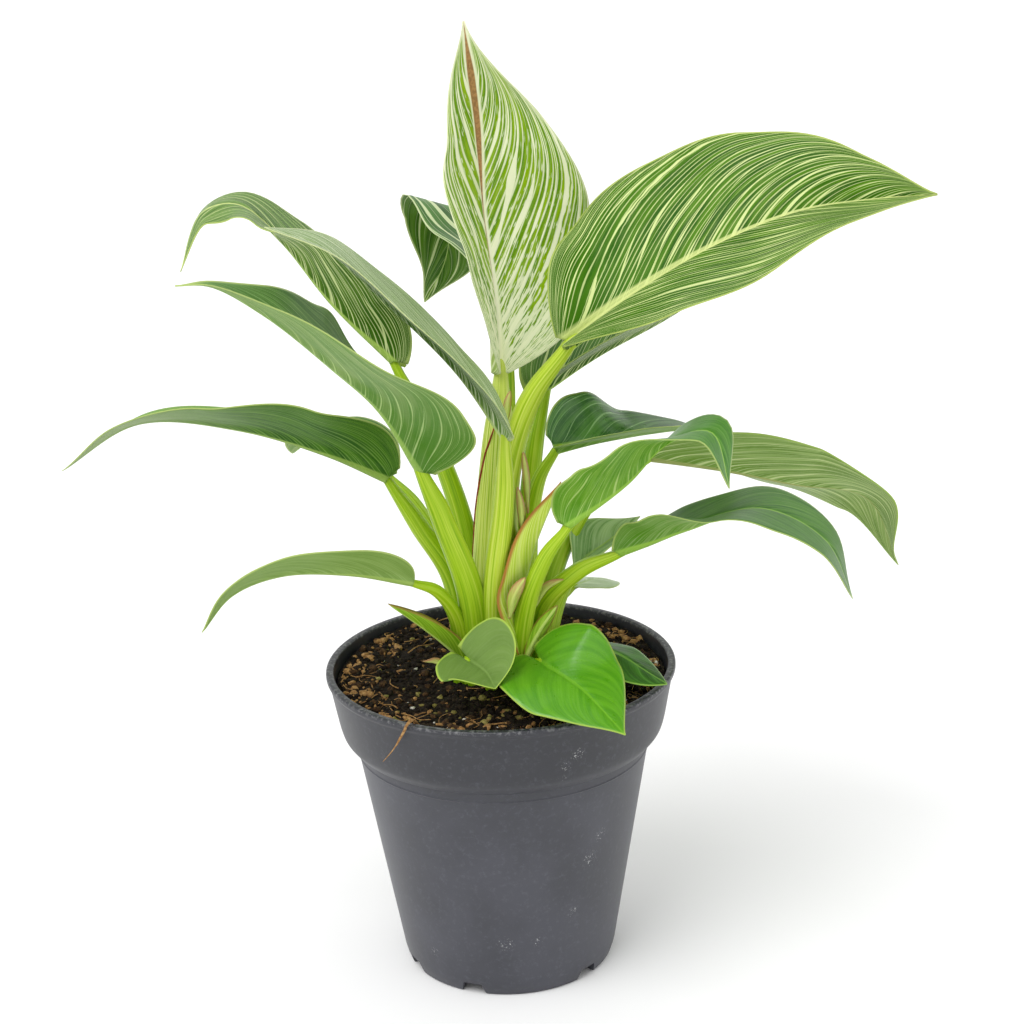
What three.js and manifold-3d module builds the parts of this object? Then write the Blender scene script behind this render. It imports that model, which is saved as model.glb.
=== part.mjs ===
// Philodendron 'Birkin' in a 12 cm nursery pot.
// Millimetres, +Z up. The pot's axis is the Z axis and its feet stand on z = 0.
// -Y is the front of the plant.

import * as THREE from 'three';
import Module from 'manifold-3d';
import { mergeVertices } from 'three/addons/utils/BufferGeometryUtils.js';

const wasm = await Module();
wasm.setup();

// ---- driving dimensions ------------------------------------------------------------------

const RIM_RADIUS = 60;
const POT_HEIGHT = 109;
const COLLAR_BOTTOM = 83;      // underside of the stepped collar below the rim
const SHOULDER_RADIUS = 50.8;  // body radius just below the collar
const FOOT_RADIUS = 37.4;
const WALL = 1.6;
const LIP_WIDTH = 2.6;
const COLLAR_BORE = 55.2;      // inner radius at the foot of the collar
const POT_FLOOR = 5;           // underside of the pot's raised floor
const FLOOR_THICKNESS = 2;
const SOIL_LEVEL = 104.5;
const SOIL_RADIUS = 56.2;      // at its top, just clear of the pot's wall
const SOIL_ROUGHNESS = 2.4;    // from the highest bumps to the lowest dips
const SOIL_MOUND = 5;          // how far the soil rises towards the stem
const GAP = 0.35;              // clearance between pieces that touch
const BLADE_THICKNESS = 0.8;
const BASE_SHARE = 0.004;      // how far up its outline a blade starts, so its base is blunt
const TIP_SHARE = 0.012;       // half-width left at the very tip, as a share of the widest
const ROWS = 11;               // rows of facets along a blade
const ROW_CROWDING = 1.25;     // above 1, the rows lie closer together near the base
const MIDRIB_EDGE = 0.08;      // side of the midrib, as a share of the half-width
const STEM_RADIUS = 9;
const STEM_FOOT = 66;
const STALK_FOOT = 93;         // where the stalks leave the stem, just under the soil
const STEM_TOP = STALK_FOOT - GAP;

// Drainage notches round the foot, in degrees from the front towards +X.
const NOTCH_ANGLES = [-64, -21, 46, 90, 135, 180, 226, 260];
const NOTCH_WIDTH = 6.5;
const NOTCH_HEIGHT = 4.2;
const NOTCH_DEPTH = 12;        // from 3 outside the foot, right through the foot ring

// Each leaf is described by two hand-set lines: the stalk, from the stem to the blade, and
// the midrib, from the end of the stalk to the drip tip. width is the half-width at the
// widest place. left and right are the angles, in degrees, at which the two halves of the
// blade rise from flat, at places spread evenly from base to tip, seen from base to tip. cup
// is the further rise at the margins and lobe how far, as a share of the midrib's length, the
// lobes reach back beside the stalk. stalkRadius is the stalk's radius at its two ends.
const LEAVES = [
  {
    name: 'leaf_01', tone: 'cream',
    stalk: [[0, 0, STALK_FOOT], [-1, -1, 130], [1, 3, 172], [3.5, 8, 209.5]],
    rib: [[3.5, 8, 209.5], [2.5, 13, 232.5], [-0.5, 16, 262], [-2, 14, 293.5], [-4.5, 0, 325]],
    heading: 90, width: 37.5, belly: 0.35, fullness: 2.35, left: [80, 76, 60, 22],
    right: [-4, -28, -7, 8], cup: 10, lobe: 0.006, stalkRadius: [9, 3.2],
  },
  {
    name: 'leaf_02', tone: 'striped',
    stalk: [
      [8, -9, STALK_FOOT], [2.8, -10.5, 160], [6.3, -9, 187.5], [14, -8, 207], [25, -8, 223],
    ],
    rib: [
      [25, -8, 223], [49, -6, 239], [75, -4, 253], [101, -2, 262], [124, 0, 264.5],
      [146, 2, 265],
    ],
    width: 39.5, belly: 0.37, fullness: 1.95, left: [88, 48, 46, 55, 72, 88],
    right: [8, 0, -6, -2, -1], cup: -6, lobe: 0.016, stalkRadius: [5, 3.4],
  },
  {
    name: 'leaf_03', tone: 'striped',
    stalk: [[1, 13, STALK_FOOT], [3, 17, 150], [5, 22, 195], [6.5, 26, 222]],
    rib: [
      [6.5, 26, 222], [-2.5, 38, 244], [-10, 52, 256.5], [-12, 64, 250.5], [-15.7, 73, 233.5],
      [-23.5, 78, 218],
    ],
    width: 19.8, belly: 0.39, left: [50, 45, 18, 20, -4, -5], right: [8, -10, -36, -46, 0],
    cup: 0, lobe: 0.08, stalkRadius: [4, 2.4],
  },
  {
    name: 'leaf_04', tone: 'striped',
    stalk: [[-8, 8, STALK_FOOT], [-10, 9, 150], [-18, 12, 180], [-32, 20, 212]],
    rib: [
      [-32, 20, 212], [-52, 24, 232], [-68, 28, 252], [-83, 30, 264.5], [-95, 29, 262],
      [-103, 26, 243],
    ],
    width: 25, belly: 0.33, fullness: 2.2, left: [74, 50, 40, 5, -34, -44],
    right: [5, 8, 10, 6, 2, 12], cup: 4, lobe: 0.04, stalkRadius: [4, 2.4],
  },
  {
    name: 'leaf_05', tone: 'striped',
    stalk: [[-1, -13, STALK_FOOT], [-1, -17, 140], [3, -21, 172], [5, -27, 198.5]],
    rib: [
      [5, -27, 198.5], [-9, -34, 221.5], [-29.5, -43, 245.5], [-48, -50, 264.5],
      [-65, -55, 272.5],
    ],
    width: 23, belly: 0.42, left: [-2, -4, 0], right: [34, 20, 19, 18, 10], cup: 0, lobe: 0.02,
    stalkRadius: [4.5, 2.6],
  },
  {
    name: 'leaf_06', tone: 'pale',
    stalk: [[-8, -11, STALK_FOOT], [-9, -17, 140], [-17, -25, 170], [-22.5, -32, 190.5]],
    rib: [
      [-22.5, -32, 190.5], [-33.5, -43, 213], [-47, -54, 229.5], [-65, -66, 248.5],
      [-80, -76, 260], [-89, -80, 261],
    ],
    width: 32, belly: 0.28, fullness: 2.65, left: [22, 12, 4, 9, 10],
    right: [8, 22, 36, 50, 40], cup: 6, lobe: 0.042, stalkRadius: [5, 3],
  },
  {
    name: 'leaf_07', tone: 'green',
    stalk: [[-12, -1, STALK_FOOT], [-15, -2, 140], [-26, -4, 161], [-35, -4, 178]],
    rib: [
      [-35, -4, 178], [-54, -3, 187], [-83.5, 0, 195.5], [-118, 6, 196.5], [-146.5, 13, 178.5],
    ],
    width: 23, belly: 0.3, left: [80, 46, 28, 14, 10], right: [5, -3, 0], cup: 4, lobe: 0.02,
    stalkRadius: [4.2, 2.4],
  },
  {
    name: 'leaf_08', tone: 'green',
    stalk: [[-14, -9, STALK_FOOT], [-14, -18, 132], [-20, -25, 145], [-27.5, -30, 150.5]],
    rib: [
      [-27.5, -30, 150.5], [-47, -38, 157], [-68.5, -44, 159], [-84, -48, 154],
      [-94, -50, 142.5],
    ],
    width: 15, belly: 0.36, left: [52, 41, 38], right: [3, -1, -5], cup: 2, lobe: 0,
    stalkRadius: [3, 1.8],
  },
  {
    name: 'leaf_09', tone: 'green',
    stalk: [[-7, 16, STALK_FOOT], [-14, 23, 130], [-28, 42, 152], [-39.5, 52, 163]],
    rib: [[-39.5, 52, 163], [-54, 62, 170], [-65.5, 71, 170.5], [-75, 80, 162]],
    width: 17, belly: 0.4, left: [15, 10, 10], right: [20, 15, 10], cup: 4, lobe: 0.08,
    stalkRadius: [3.2, 1.9],
  },
  {
    name: 'leaf_10', tone: 'green',
    stalk: [[11, 4, STALK_FOOT], [11, 6, 150], [15, 7, 172], [21, 8, 182.5]],
    rib: [[21, 8, 182.5], [38, 14, 183.5], [53.5, 20, 183.5], [68, 26, 182], [79.5, 32, 176]],
    width: 18.5, belly: 0.3, fullness: 1.35, left: [66, 44, 10, 2, 0], right: [18, 18, 18],
    cup: 6, lobe: 0.04, stalkRadius: [3.6, 2.2],
  },
  {
    name: 'leaf_11', tone: 'green',
    stalk: [[5, -16, STALK_FOOT], [9, -20, 135], [16, -24, 155], [23.5, -28, 168]],
    rib: [[23.5, -28, 168], [41.5, -36, 183.5], [55, -44, 199], [68, -50, 203], [73, -54, 186]],
    width: 19, belly: 0.36, left: [10, 5, 2, 8, 2], right: [56, 36, 22, -2, 2], cup: 4,
    lobe: 0.03, stalkRadius: [3.6, 2.2],
  },
  {
    name: 'leaf_12', tone: 'pale',
    stalk: [[13, 11, STALK_FOOT], [19, 21, 133], [36, 36, 158], [55.5, 47, 167]],
    rib: [[55.5, 47, 167], [81.5, 54, 159.5], [108.5, 59, 151], [136, 63, 143], [148, 64, 116]],
    width: 23, belly: 0.38, left: [-14, -16, -20, -42, -34], right: [50, 49, 48, 22, -20],
    cup: 4, lobe: 0.03, stalkRadius: [4, 2.4],
  },
  {
    name: 'leaf_13', tone: 'striped',
    stalk: [[8, 13, STALK_FOOT], [10.6, 18, 150], [14.2, 22, 180], [18.5, 28, 199.5]],
    rib: [[18.5, 28, 199.5], [38, 42, 207], [60, 55, 214], [78.5, 66, 221], [95, 76, 225]],
    width: 25, belly: 0.38, left: [25, 15, 10], right: [32, 27, 18], cup: 4, lobe: 0.08,
    stalkRadius: [4, 2.6],
  },
  {
    name: 'leaf_14', tone: 'green',
    stalk: [[14, -6, STALK_FOOT], [15, -10, 132], [26, -15, 146], [40.5, -18, 154.5]],
    rib: [
      [40.5, -18, 154.5], [49, -21, 158.5], [61, -26, 164.5], [86, -31, 171.5], [106, -34, 161],
      [115, -35, 141],
    ],
    width: 18, belly: 0.42, left: [4, 8, 4, 7, 10, 0], right: [75, 42, 10, -3, -3, 0], cup: 0,
    lobe: 0.02, stalkRadius: [4, 2.4],
  },
  {
    name: 'leaf_15', tone: 'green',
    stalk: [[16, 3, STALK_FOOT], [18, 7, 118], [22, 13, 128], [27, 18, 135]],
    rib: [[27, 18, 135], [32, 24, 138], [38, 30, 140], [51, 38, 147]],
    width: 12, belly: 0.36, fullness: 1.6, left: [85, 40, 4], right: [20, 25, 25], cup: 4,
    lobe: 0, rows: 7, stalkRadius: [3, 1.8],
  },
  {
    name: 'leaf_16', tone: 'pale',
    stalk: [[15, 17, STALK_FOOT], [16, 19, 113], [20, 22, 121], [26.5, 28, 125.5]],
    rib: [[26.5, 28, 125.5], [32.5, 35, 124.8], [38, 41, 123], [43.5, 46.5, 119.3]],
    width: 9, belly: 0.4, left: [-14, -12, -8], right: [-6, -10, -10], cup: 4, lobe: 0.03,
    rows: 7, stalkRadius: [2.4, 1.5],
  },
  {
    name: 'juvenile_leaf_1', tone: 'young',
    stalk: [[-3.5, -18, STALK_FOOT], [-4, -21, 113], [-7, -26, 120], [-11, -34, 124.5]],
    rib: [[-11, -34, 124.5], [-4.5, -41, 122], [-1.6, -48.6, 119.3]],
    width: 17, belly: 0.4, left: [62, 56, 40], right: [4, 0, 4], cup: 8, lobe: 0.27, rows: 8,
    stalkRadius: [2.6, 1.6],
  },
  {
    name: 'juvenile_leaf_2', tone: 'young',
    stalk: [[11, -18, STALK_FOOT], [9, -22, 110], [8, -27, 118], [12.5, -31, 122]],
    rib: [[12.5, -31, 122], [16, -38, 122], [26, -50, 119], [39, -65, 109]],
    width: 19.5, belly: 0.33, fullness: 1.8, left: [50, 40, 10, 5, 0],
    right: [4, -6, -15, -14, -6], cup: -4, lobe: 0.14, rows: 9, stalkRadius: [2.8, 1.7],
  },
  {
    name: 'juvenile_leaf_3', tone: 'young',
    stalk: [[17, -10, STALK_FOOT], [19, -11, 110], [24, -13, 118], [32, -16, 120]],
    rib: [[32, -16, 120], [40, -22, 119], [48, -27, 115], [55, -30, 111]],
    width: 11, belly: 0.4, left: [-9, -12, -10], right: [-12, -16, -14], cup: 2, lobe: 0.15,
    rows: 7, stalkRadius: [2.4, 1.5],
  },
];

// Scale leaves and open stalk sheaths, which hug the stalks, described as the leaves are.
const SHEATHS = [
  {
    name: 'scale_leaf_front', tone: 'sheath',
    rib: [[2.2, -13, 111], [7.6, -13.2, 136], [12.8, -18.2, 157], [22, -16, 178]],
    heading: -22, width: 13.3, belly: 0.3, left: [10, 36, 75], right: [-60, 10, 75], cup: 30,
    lobe: 0,
  },
  {
    name: 'open_sheath_left', tone: 'stalk',
    rib: [[-9.5, -14.5, 110.5], [-14, -17, 118], [-24.5, -24, 131], [-36, -28, 142]],
    width: 6, belly: 0.4, left: [40, 45, 40], right: [40, 45, 40], cup: 20, lobe: 0,
  },
];

const COLOURS = {
  cream: 0xc9d39c, striped: 0x4f7f3a, pale: 0x7f9d6c, green: 0x3f7a35, young: 0x4f9a34,
  sheath: 0xc3cf6d, stalk: 0x9fc33d, pot: 0x40444d, soil: 0x2b211b, stem: 0xa9b85c,
};

// ---- general helpers ---------------------------------------------------------------------

const UP = new THREE.Vector3(0, 0, 1);
const radians = THREE.MathUtils.degToRad;

function vector([x, y, z]) {
  return new THREE.Vector3(x, y, z);
}

function curveThrough(points) {
  return new THREE.CatmullRomCurve3(points.map(vector), false, 'centripetal');
}

function geometryFrom(positions, indices) {
  const geometry = new THREE.BufferGeometry();
  geometry.setAttribute('position', new THREE.Float32BufferAttribute(positions, 3));
  geometry.setIndex(indices);
  return geometry;
}

// The value at t of a smooth line through the numbers in stations, spread evenly over 0..1.
function along(stations, t) {
  const place = THREE.MathUtils.clamp(t, 0, 1) * (stations.length - 1);
  const index = Math.min(Math.floor(place), stations.length - 2);
  const blend = THREE.MathUtils.smoothstep(place - index, 0, 1);
  return THREE.MathUtils.lerp(stations[index], stations[index + 1], blend);
}

function solidOf(geometry) {
  const bare = geometry.clone();
  bare.deleteAttribute('normal');
  bare.deleteAttribute('uv');
  const merged = mergeVertices(bare, 1e-4);
  return new wasm.Manifold(new wasm.Mesh({
    numProp: 3,
    vertProperties: new Float32Array(merged.attributes.position.array),
    triVerts: new Uint32Array(merged.index.array),
  }));
}

function geometryOf(solid) {
  const mesh = solid.getMesh();
  return geometryFrom(Array.from(mesh.vertProperties), Array.from(mesh.triVerts));
}

// The solid without the cutters, keeping only its largest body.
function carve(solid, cutters) {
  const rest = cutters.reduce((left, cutter) => left.subtract(cutter), solid);
  const bodies = rest.decompose();
  return bodies.reduce((largest, body) => (body.volume() > largest.volume() ? body : largest));
}

function part(name, geometry, tone, roughness) {
  const look = { color: COLOURS[tone], roughness, metalness: 0 };
  const mesh = new THREE.Mesh(geometry, new THREE.MeshStandardMaterial(look));
  mesh.name = name;
  return mesh;
}

// ---- stalks ------------------------------------------------------------------------------

// A round tapering rod along a curve. extra makes it fatter and longer all round.
function rod(curve, radiusAt, steps, sides, extra = 0) {
  const frames = curve.computeFrenetFrames(steps, false);
  const positions = [];
  const indices = [];
  const centres = [];
  for (let i = 0; i <= steps; i += 1) {
    const centre = curve.getPointAt(i / steps);
    if (i === 0) centre.addScaledVector(frames.tangents[i], -extra);
    if (i === steps) centre.addScaledVector(frames.tangents[i], extra);
    centres.push(centre);
    const radius = radiusAt(i / steps) + extra;
    for (let j = 0; j < sides; j += 1) {
      const angle = (2 * Math.PI * j) / sides;
      const point = centre.clone();
      point.addScaledVector(frames.normals[i], radius * Math.cos(angle));
      point.addScaledVector(frames.binormals[i], radius * Math.sin(angle));
      positions.push(...point.toArray());
    }
  }
  for (let i = 0; i < steps; i += 1) {
    for (let j = 0; j < sides; j += 1) {
      const a = i * sides + j;
      const b = i * sides + ((j + 1) % sides);
      indices.push(a, b, b + sides, a, b + sides, a + sides);
    }
  }
  const foot = positions.length / 3;
  positions.push(...centres[0].toArray(), ...centres[steps].toArray());
  const top = steps * sides;
  for (let j = 0; j < sides; j += 1) {
    const next = (j + 1) % sides;
    indices.push(foot, next, j, foot + 1, top + j, top + next);
  }
  return geometryFrom(positions, indices);
}

// The short stem below the soil, which carries all the stalks.
function stem(extra = 0) {
  const axis = new THREE.LineCurve3(vector([0, 0, STEM_FOOT]), vector([0, 0, STEM_TOP]));
  return rod(axis, () => STEM_RADIUS, 1, 16, extra);
}

// A leaf's stalk, which keeps the girth of its sheathing base for the first third or so.
function stalkRod(leaf, extra = 0) {
  const [base, end] = leaf.stalkRadius;
  const radiusAt = (t) => end + (base - end) * (1 - t ** 2.2);
  return rod(curveThrough(leaf.stalk), radiusAt, 7, 7, extra);
}

// ---- blades ------------------------------------------------------------------------------

// Outline of a blade: its half-width, as a share of the widest, at t from base to tip. The
// widest place is at the belly, and a higher fullness draws both ends out to sharper points.
function outline({ belly, fullness = 1.6 }, t) {
  const rise = fullness * belly;
  const fall = fullness - rise;
  const widest = belly ** rise * (1 - belly) ** fall;
  return ((t + BASE_SHARE) ** rise * (1 - t) ** fall) / widest + TIP_SHARE;
}

// The point of a blade at t from base to tip and u from the left margin, -1, to the right, 1.
function bladePoint(leaf, curve, length, t, u) {
  const back = leaf.lobe * length * (1 - t) ** 3 * Math.abs(u) ** 1.4;
  const s = t - back / length;
  const inside = THREE.MathUtils.clamp(s, 0, 1);
  const tangent = curve.getTangentAt(inside);
  const centre = curve.getPointAt(inside).addScaledVector(tangent, (s - inside) * length);
  const heading = headingOf(leaf);
  const side = heading.clone().cross(UP);
  side.addScaledVector(tangent, -side.dot(tangent)).normalize();
  const normal = side.clone().cross(tangent);
  const hand = u < 0 ? -1 : 1;
  const rise = radians(along(u < 0 ? leaf.left : leaf.right, t));
  const cup = radians(leaf.cup);
  const reach = leaf.width * outline(leaf, t) * Math.abs(u);
  const mean = rise + 0.5 * cup * Math.abs(u);
  centre.addScaledVector(side, hand * reach * Math.cos(mean));
  return centre.addScaledVector(normal, reach * Math.sin(mean));
}

function headingOf(leaf) {
  if (leaf.heading !== undefined) {
    const angle = radians(leaf.heading);
    return new THREE.Vector3(Math.cos(angle), Math.sin(angle), 0);
  }
  const first = vector(leaf.rib[0]);
  const last = vector(leaf.rib[leaf.rib.length - 1]);
  return last.sub(first).setZ(0).normalize();
}

// A thin closed sheet with a raised midrib below, split into triangles alike on both faces.
function blade(leaf) {
  const rows = leaf.rows ?? ROWS;
  const inner = leaf.width > 30 ? [MIDRIB_EDGE, 0.4, 0.75, 1] : [MIDRIB_EDGE, 0.55, 1];
  const columns = [...inner.map((u) => -u).reverse(), ...inner];
  const curve = curveThrough(leaf.rib);
  const length = curve.getLength();
  const at = (t, u) => bladePoint(leaf, curve, length, t, u);
  const keel = leaf.stalkRadius ? leaf.stalkRadius[1] : 0.6;
  const positions = [[], []];
  const step = 1e-3;
  for (let i = 0; i <= rows; i += 1) {
    const t = (i / rows) ** ROW_CROWDING;
    for (const u of columns) {
      const point = at(t, u);
      const lengthwise = at(Math.min(t + step, 1), u).sub(at(Math.max(t - step, 0), u));
      const across = at(t, Math.min(u + step, 1)).sub(at(t, Math.max(u - step, -1)));
      const normal = across.cross(lengthwise).normalize();
      const deep = Math.abs(u) <= MIDRIB_EDGE ? keel * (1 - t) : 0;
      positions[0].push(point.clone().addScaledVector(normal, BLADE_THICKNESS / 2));
      positions[1].push(point.clone().addScaledVector(normal, -BLADE_THICKNESS / 2 - deep));
    }
  }
  return sheet(positions, rows, columns.length);
}

// Closes the upper and lower grids of points into one body.
function sheet([upper, lower], rows, width) {
  const all = [...upper, ...lower];
  const offset = upper.length;
  const indices = [];
  for (let i = 0; i < rows; i += 1) {
    for (let j = 0; j < width - 1; j += 1) {
      const a = i * width + j;
      const b = a + 1;
      const c = a + width;
      const d = c + 1;
      const faces = j < (width - 1) / 2 ? [[a, b, c], [b, d, c]] : [[a, b, d], [a, d, c]];
      for (const [p, q, r] of faces) {
        indices.push(p, q, r, offset + p, offset + r, offset + q);
      }
    }
  }
  const border = [];
  for (let j = 0; j < width - 1; j += 1) border.push(j);
  for (let i = 0; i < rows; i += 1) border.push(i * width + width - 1);
  for (let j = width - 1; j > 0; j -= 1) border.push(rows * width + j);
  for (let i = rows; i > 0; i -= 1) border.push(i * width);
  border.forEach((p, i) => {
    const q = border[(i + 1) % border.length];
    indices.push(q, p, offset + p, q, offset + p, offset + q);
  });
  return geometryFrom(all.flatMap((point) => point.toArray()), indices);
}

// ---- pot and soil ------------------------------------------------------------------------

// A solid turned round the Z axis from its profile of [radius, height] pairs.
function turned(profile, segments) {
  const points = profile.map(([radius, z]) => new THREE.Vector2(radius, z));
  return new THREE.LatheGeometry(points, segments).rotateX(Math.PI / 2);
}

// The pot before its notches are cut: a tapering body on a foot ring, a collar and a lip.
function potWall() {
  const mouth = RIM_RADIUS - LIP_WIDTH;
  const floorTop = POT_FLOOR + FLOOR_THICKNESS;
  const foot = [
    [0, POT_FLOOR], [FOOT_RADIUS - 5, POT_FLOOR],
    [FOOT_RADIUS - 4, 0], [FOOT_RADIUS - 1.4, 0], [FOOT_RADIUS, 4],
  ];
  const collar = [
    [SHOULDER_RADIUS, COLLAR_BOTTOM], [SHOULDER_RADIUS + 2, COLLAR_BOTTOM + 1],
    [SHOULDER_RADIUS + 4.4, COLLAR_BOTTOM + 4], [SHOULDER_RADIUS + 5.4, COLLAR_BOTTOM + 7.5],
  ];
  const lip = [
    [RIM_RADIUS - 1, POT_HEIGHT - 3], [RIM_RADIUS, POT_HEIGHT - 1.8],
    [RIM_RADIUS, POT_HEIGHT], [mouth, POT_HEIGHT],
  ];
  const inside = [
    [COLLAR_BORE, COLLAR_BOTTOM + 6], [SHOULDER_RADIUS - WALL, COLLAR_BOTTOM - 1],
    [FOOT_RADIUS - WALL, floorTop], [0, floorTop],
  ];
  return turned([...foot, ...collar, ...lip, ...inside], 40);
}

// A wedge-sided cutter for one drainage notch, wider at the bottom.
function notchCutter(degrees) {
  const head = NOTCH_WIDTH / 2;
  const foot = head + 1.5;
  const shape = new THREE.Shape();
  shape.moveTo(-foot, -1).lineTo(foot, -1).lineTo(head, NOTCH_HEIGHT).lineTo(-head, NOTCH_HEIGHT);
  shape.closePath();
  const cutter = new THREE.ExtrudeGeometry(shape, { depth: NOTCH_DEPTH, bevelEnabled: false });
  cutter.rotateX(Math.PI / 2);
  cutter.translate(0, NOTCH_DEPTH - 3 - FOOT_RADIUS, 0);
  cutter.rotateZ(radians(degrees));
  return solidOf(cutter);
}

function pot() {
  return geometryOf(carve(solidOf(potWall()), NOTCH_ANGLES.map(notchCutter)));
}

// Loose potting mix that fills the pot, with an uneven top that rises towards the stem.
function soil() {
  const foot = POT_FLOOR + FLOOR_THICKNESS + GAP;
  const top = [1, 0.78, 0.55, 0.3, 0].map((share) => {
    return [share * SOIL_RADIUS, SOIL_LEVEL + SOIL_MOUND * (1 - share) ** 1.2];
  });
  const below = [
    [0, foot], [FOOT_RADIUS - WALL - GAP, foot],
    [SHOULDER_RADIUS - WALL - GAP, COLLAR_BOTTOM - 1], [COLLAR_BORE - GAP, COLLAR_BOTTOM + 6],
  ];
  const geometry = turned([...below, ...top], 24);
  geometry.deleteAttribute('normal');
  geometry.deleteAttribute('uv');
  const merged = mergeVertices(geometry, 1e-3);
  const place = merged.attributes.position;
  const random = mulberry(7);
  for (let i = 0; i < place.count; i += 1) {
    if (place.getZ(i) >= SOIL_LEVEL) {
      place.setZ(i, place.getZ(i) + SOIL_ROUGHNESS * (random() - 0.5));
    }
  }
  return merged;
}

// A small seeded generator of numbers from 0 to 1.
function mulberry(seed) {
  let state = seed;
  return () => {
    state = (state + 0x6d2b79f5) | 0;
    let mixed = Math.imul(state ^ (state >>> 15), 1 | state);
    mixed = (mixed + Math.imul(mixed ^ (mixed >>> 7), 61 | mixed)) ^ mixed;
    return ((mixed ^ (mixed >>> 14)) >>> 0) / 4294967296;
  };
}

// ---- assembly ----------------------------------------------------------------------------

const plant = new THREE.Group();
const stemSpace = solidOf(stem(GAP));
const stalkSpaces = LEAVES.map((leaf) => solidOf(stalkRod(leaf, GAP)));

plant.add(part('pot', pot(), 'pot', 0.45));
plant.add(part('soil', geometryOf(carve(solidOf(soil()), [...stalkSpaces, stemSpace])), 'soil', 1));
plant.add(part('stem', stem(), 'stem', 0.6));
// A stalk is cut clear of the ones set before it, so the outer stalks clasp the inner ones.
LEAVES.forEach((leaf, i) => {
  const bladeSolid = carve(solidOf(blade(leaf)), stalkSpaces);
  const stalkSolid = carve(solidOf(stalkRod(leaf)), stalkSpaces.slice(0, i));
  plant.add(part(`${leaf.name}_blade`, geometryOf(bladeSolid), leaf.tone, 0.4));
  plant.add(part(`${leaf.name}_stalk`, geometryOf(stalkSolid), 'stalk', 0.4));
});
for (const sheath of SHEATHS) {
  const solid = carve(solidOf(blade(sheath)), stalkSpaces);
  plant.add(part(sheath.name, geometryOf(solid), sheath.tone, 0.45));
}

export default plant;
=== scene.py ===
"""A potted Philodendron 'Birkin': finer leaves, stalks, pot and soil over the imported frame."""
import math
from dataclasses import dataclass
from itertools import combinations

import bpy
import numpy as np
from mathutils import Matrix, Vector


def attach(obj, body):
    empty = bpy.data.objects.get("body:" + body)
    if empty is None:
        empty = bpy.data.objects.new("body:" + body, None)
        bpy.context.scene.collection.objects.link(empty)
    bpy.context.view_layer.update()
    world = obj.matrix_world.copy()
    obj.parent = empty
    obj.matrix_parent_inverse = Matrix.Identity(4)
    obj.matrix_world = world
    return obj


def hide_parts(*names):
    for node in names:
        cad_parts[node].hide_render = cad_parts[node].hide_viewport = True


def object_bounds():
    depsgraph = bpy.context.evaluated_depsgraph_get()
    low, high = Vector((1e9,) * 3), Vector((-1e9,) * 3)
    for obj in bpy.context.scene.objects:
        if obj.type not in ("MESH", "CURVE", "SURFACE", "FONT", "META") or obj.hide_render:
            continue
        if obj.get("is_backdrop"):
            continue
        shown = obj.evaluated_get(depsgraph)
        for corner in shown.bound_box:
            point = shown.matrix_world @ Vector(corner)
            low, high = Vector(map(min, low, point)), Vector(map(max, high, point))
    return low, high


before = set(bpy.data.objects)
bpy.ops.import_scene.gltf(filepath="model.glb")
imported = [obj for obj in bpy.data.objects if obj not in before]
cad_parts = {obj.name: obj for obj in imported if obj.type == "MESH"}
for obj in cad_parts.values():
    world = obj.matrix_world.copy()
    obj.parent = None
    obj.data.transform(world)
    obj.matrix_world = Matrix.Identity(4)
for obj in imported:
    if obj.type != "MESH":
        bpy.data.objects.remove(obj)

cad_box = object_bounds()

# ---- sizes, in millimetres, as in the part's source ----

MM = 0.001
RIM_RADIUS = 60
POT_HEIGHT = 109
COLLAR_BOTTOM = 83
SHOULDER_RADIUS = 50.8
FOOT_RADIUS = 37.4
WALL = 1.6
LIP_WIDTH = 2.6
COLLAR_BORE = 55.2
POT_FLOOR = 5
FLOOR_THICKNESS = 2
NOTCH_ANGLES = [-64, -21, 46, 90, 135, 180, 226, 260]
NOTCH_WIDTH = 6.5
NOTCH_HEIGHT = 4.2
SOIL_LEVEL = 104.5
SOIL_RADIUS = 56.2
SOIL_MOUND = 5
STALK_FOOT = 93
LEAF_THICKNESS = 0.5
BASE_SHARE = 0.004       # keeps a blade from closing to nothing at its base
TIP_SHARE = 0.012        # its half-width at the tip, as a share of the widest
ROW_CROWDING = 1.25      # rows stand closer towards a blade's base

UP = np.array([0.0, 0.0, 1.0])


@dataclass
class Leaf:
    """One leaf: its stalk and midrib lines and the form of its blade, as in the part's source.

    In the tables a stalk's foot is only x and y, and its end, where the midrib begins, is left
    out.
    """
    name: str
    tone: str
    rib: list
    left: list                  # degrees by which each half rises, from base to tip
    right: list
    width: float                # the widest half-width
    belly: float                # where along the blade that is
    cup: float = 4              # degrees by which each half curls up at its margin
    lobe: float = 0             # how far the base reaches back, as a share of the length
    stalk: list = None
    girth: tuple = None         # the stalk's radius at its foot and at its end
    fullness: float = 1.6       # how fast the outline falls off from the widest place
    heading: float = None       # degrees, where it isn't the midrib's own

    def __post_init__(self):
        if self.stalk:
            foot, *others = self.stalk
            self.stalk = [(*foot, STALK_FOOT), *others, self.rib[0]]
        self.rib = np.array(self.rib, float)


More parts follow.
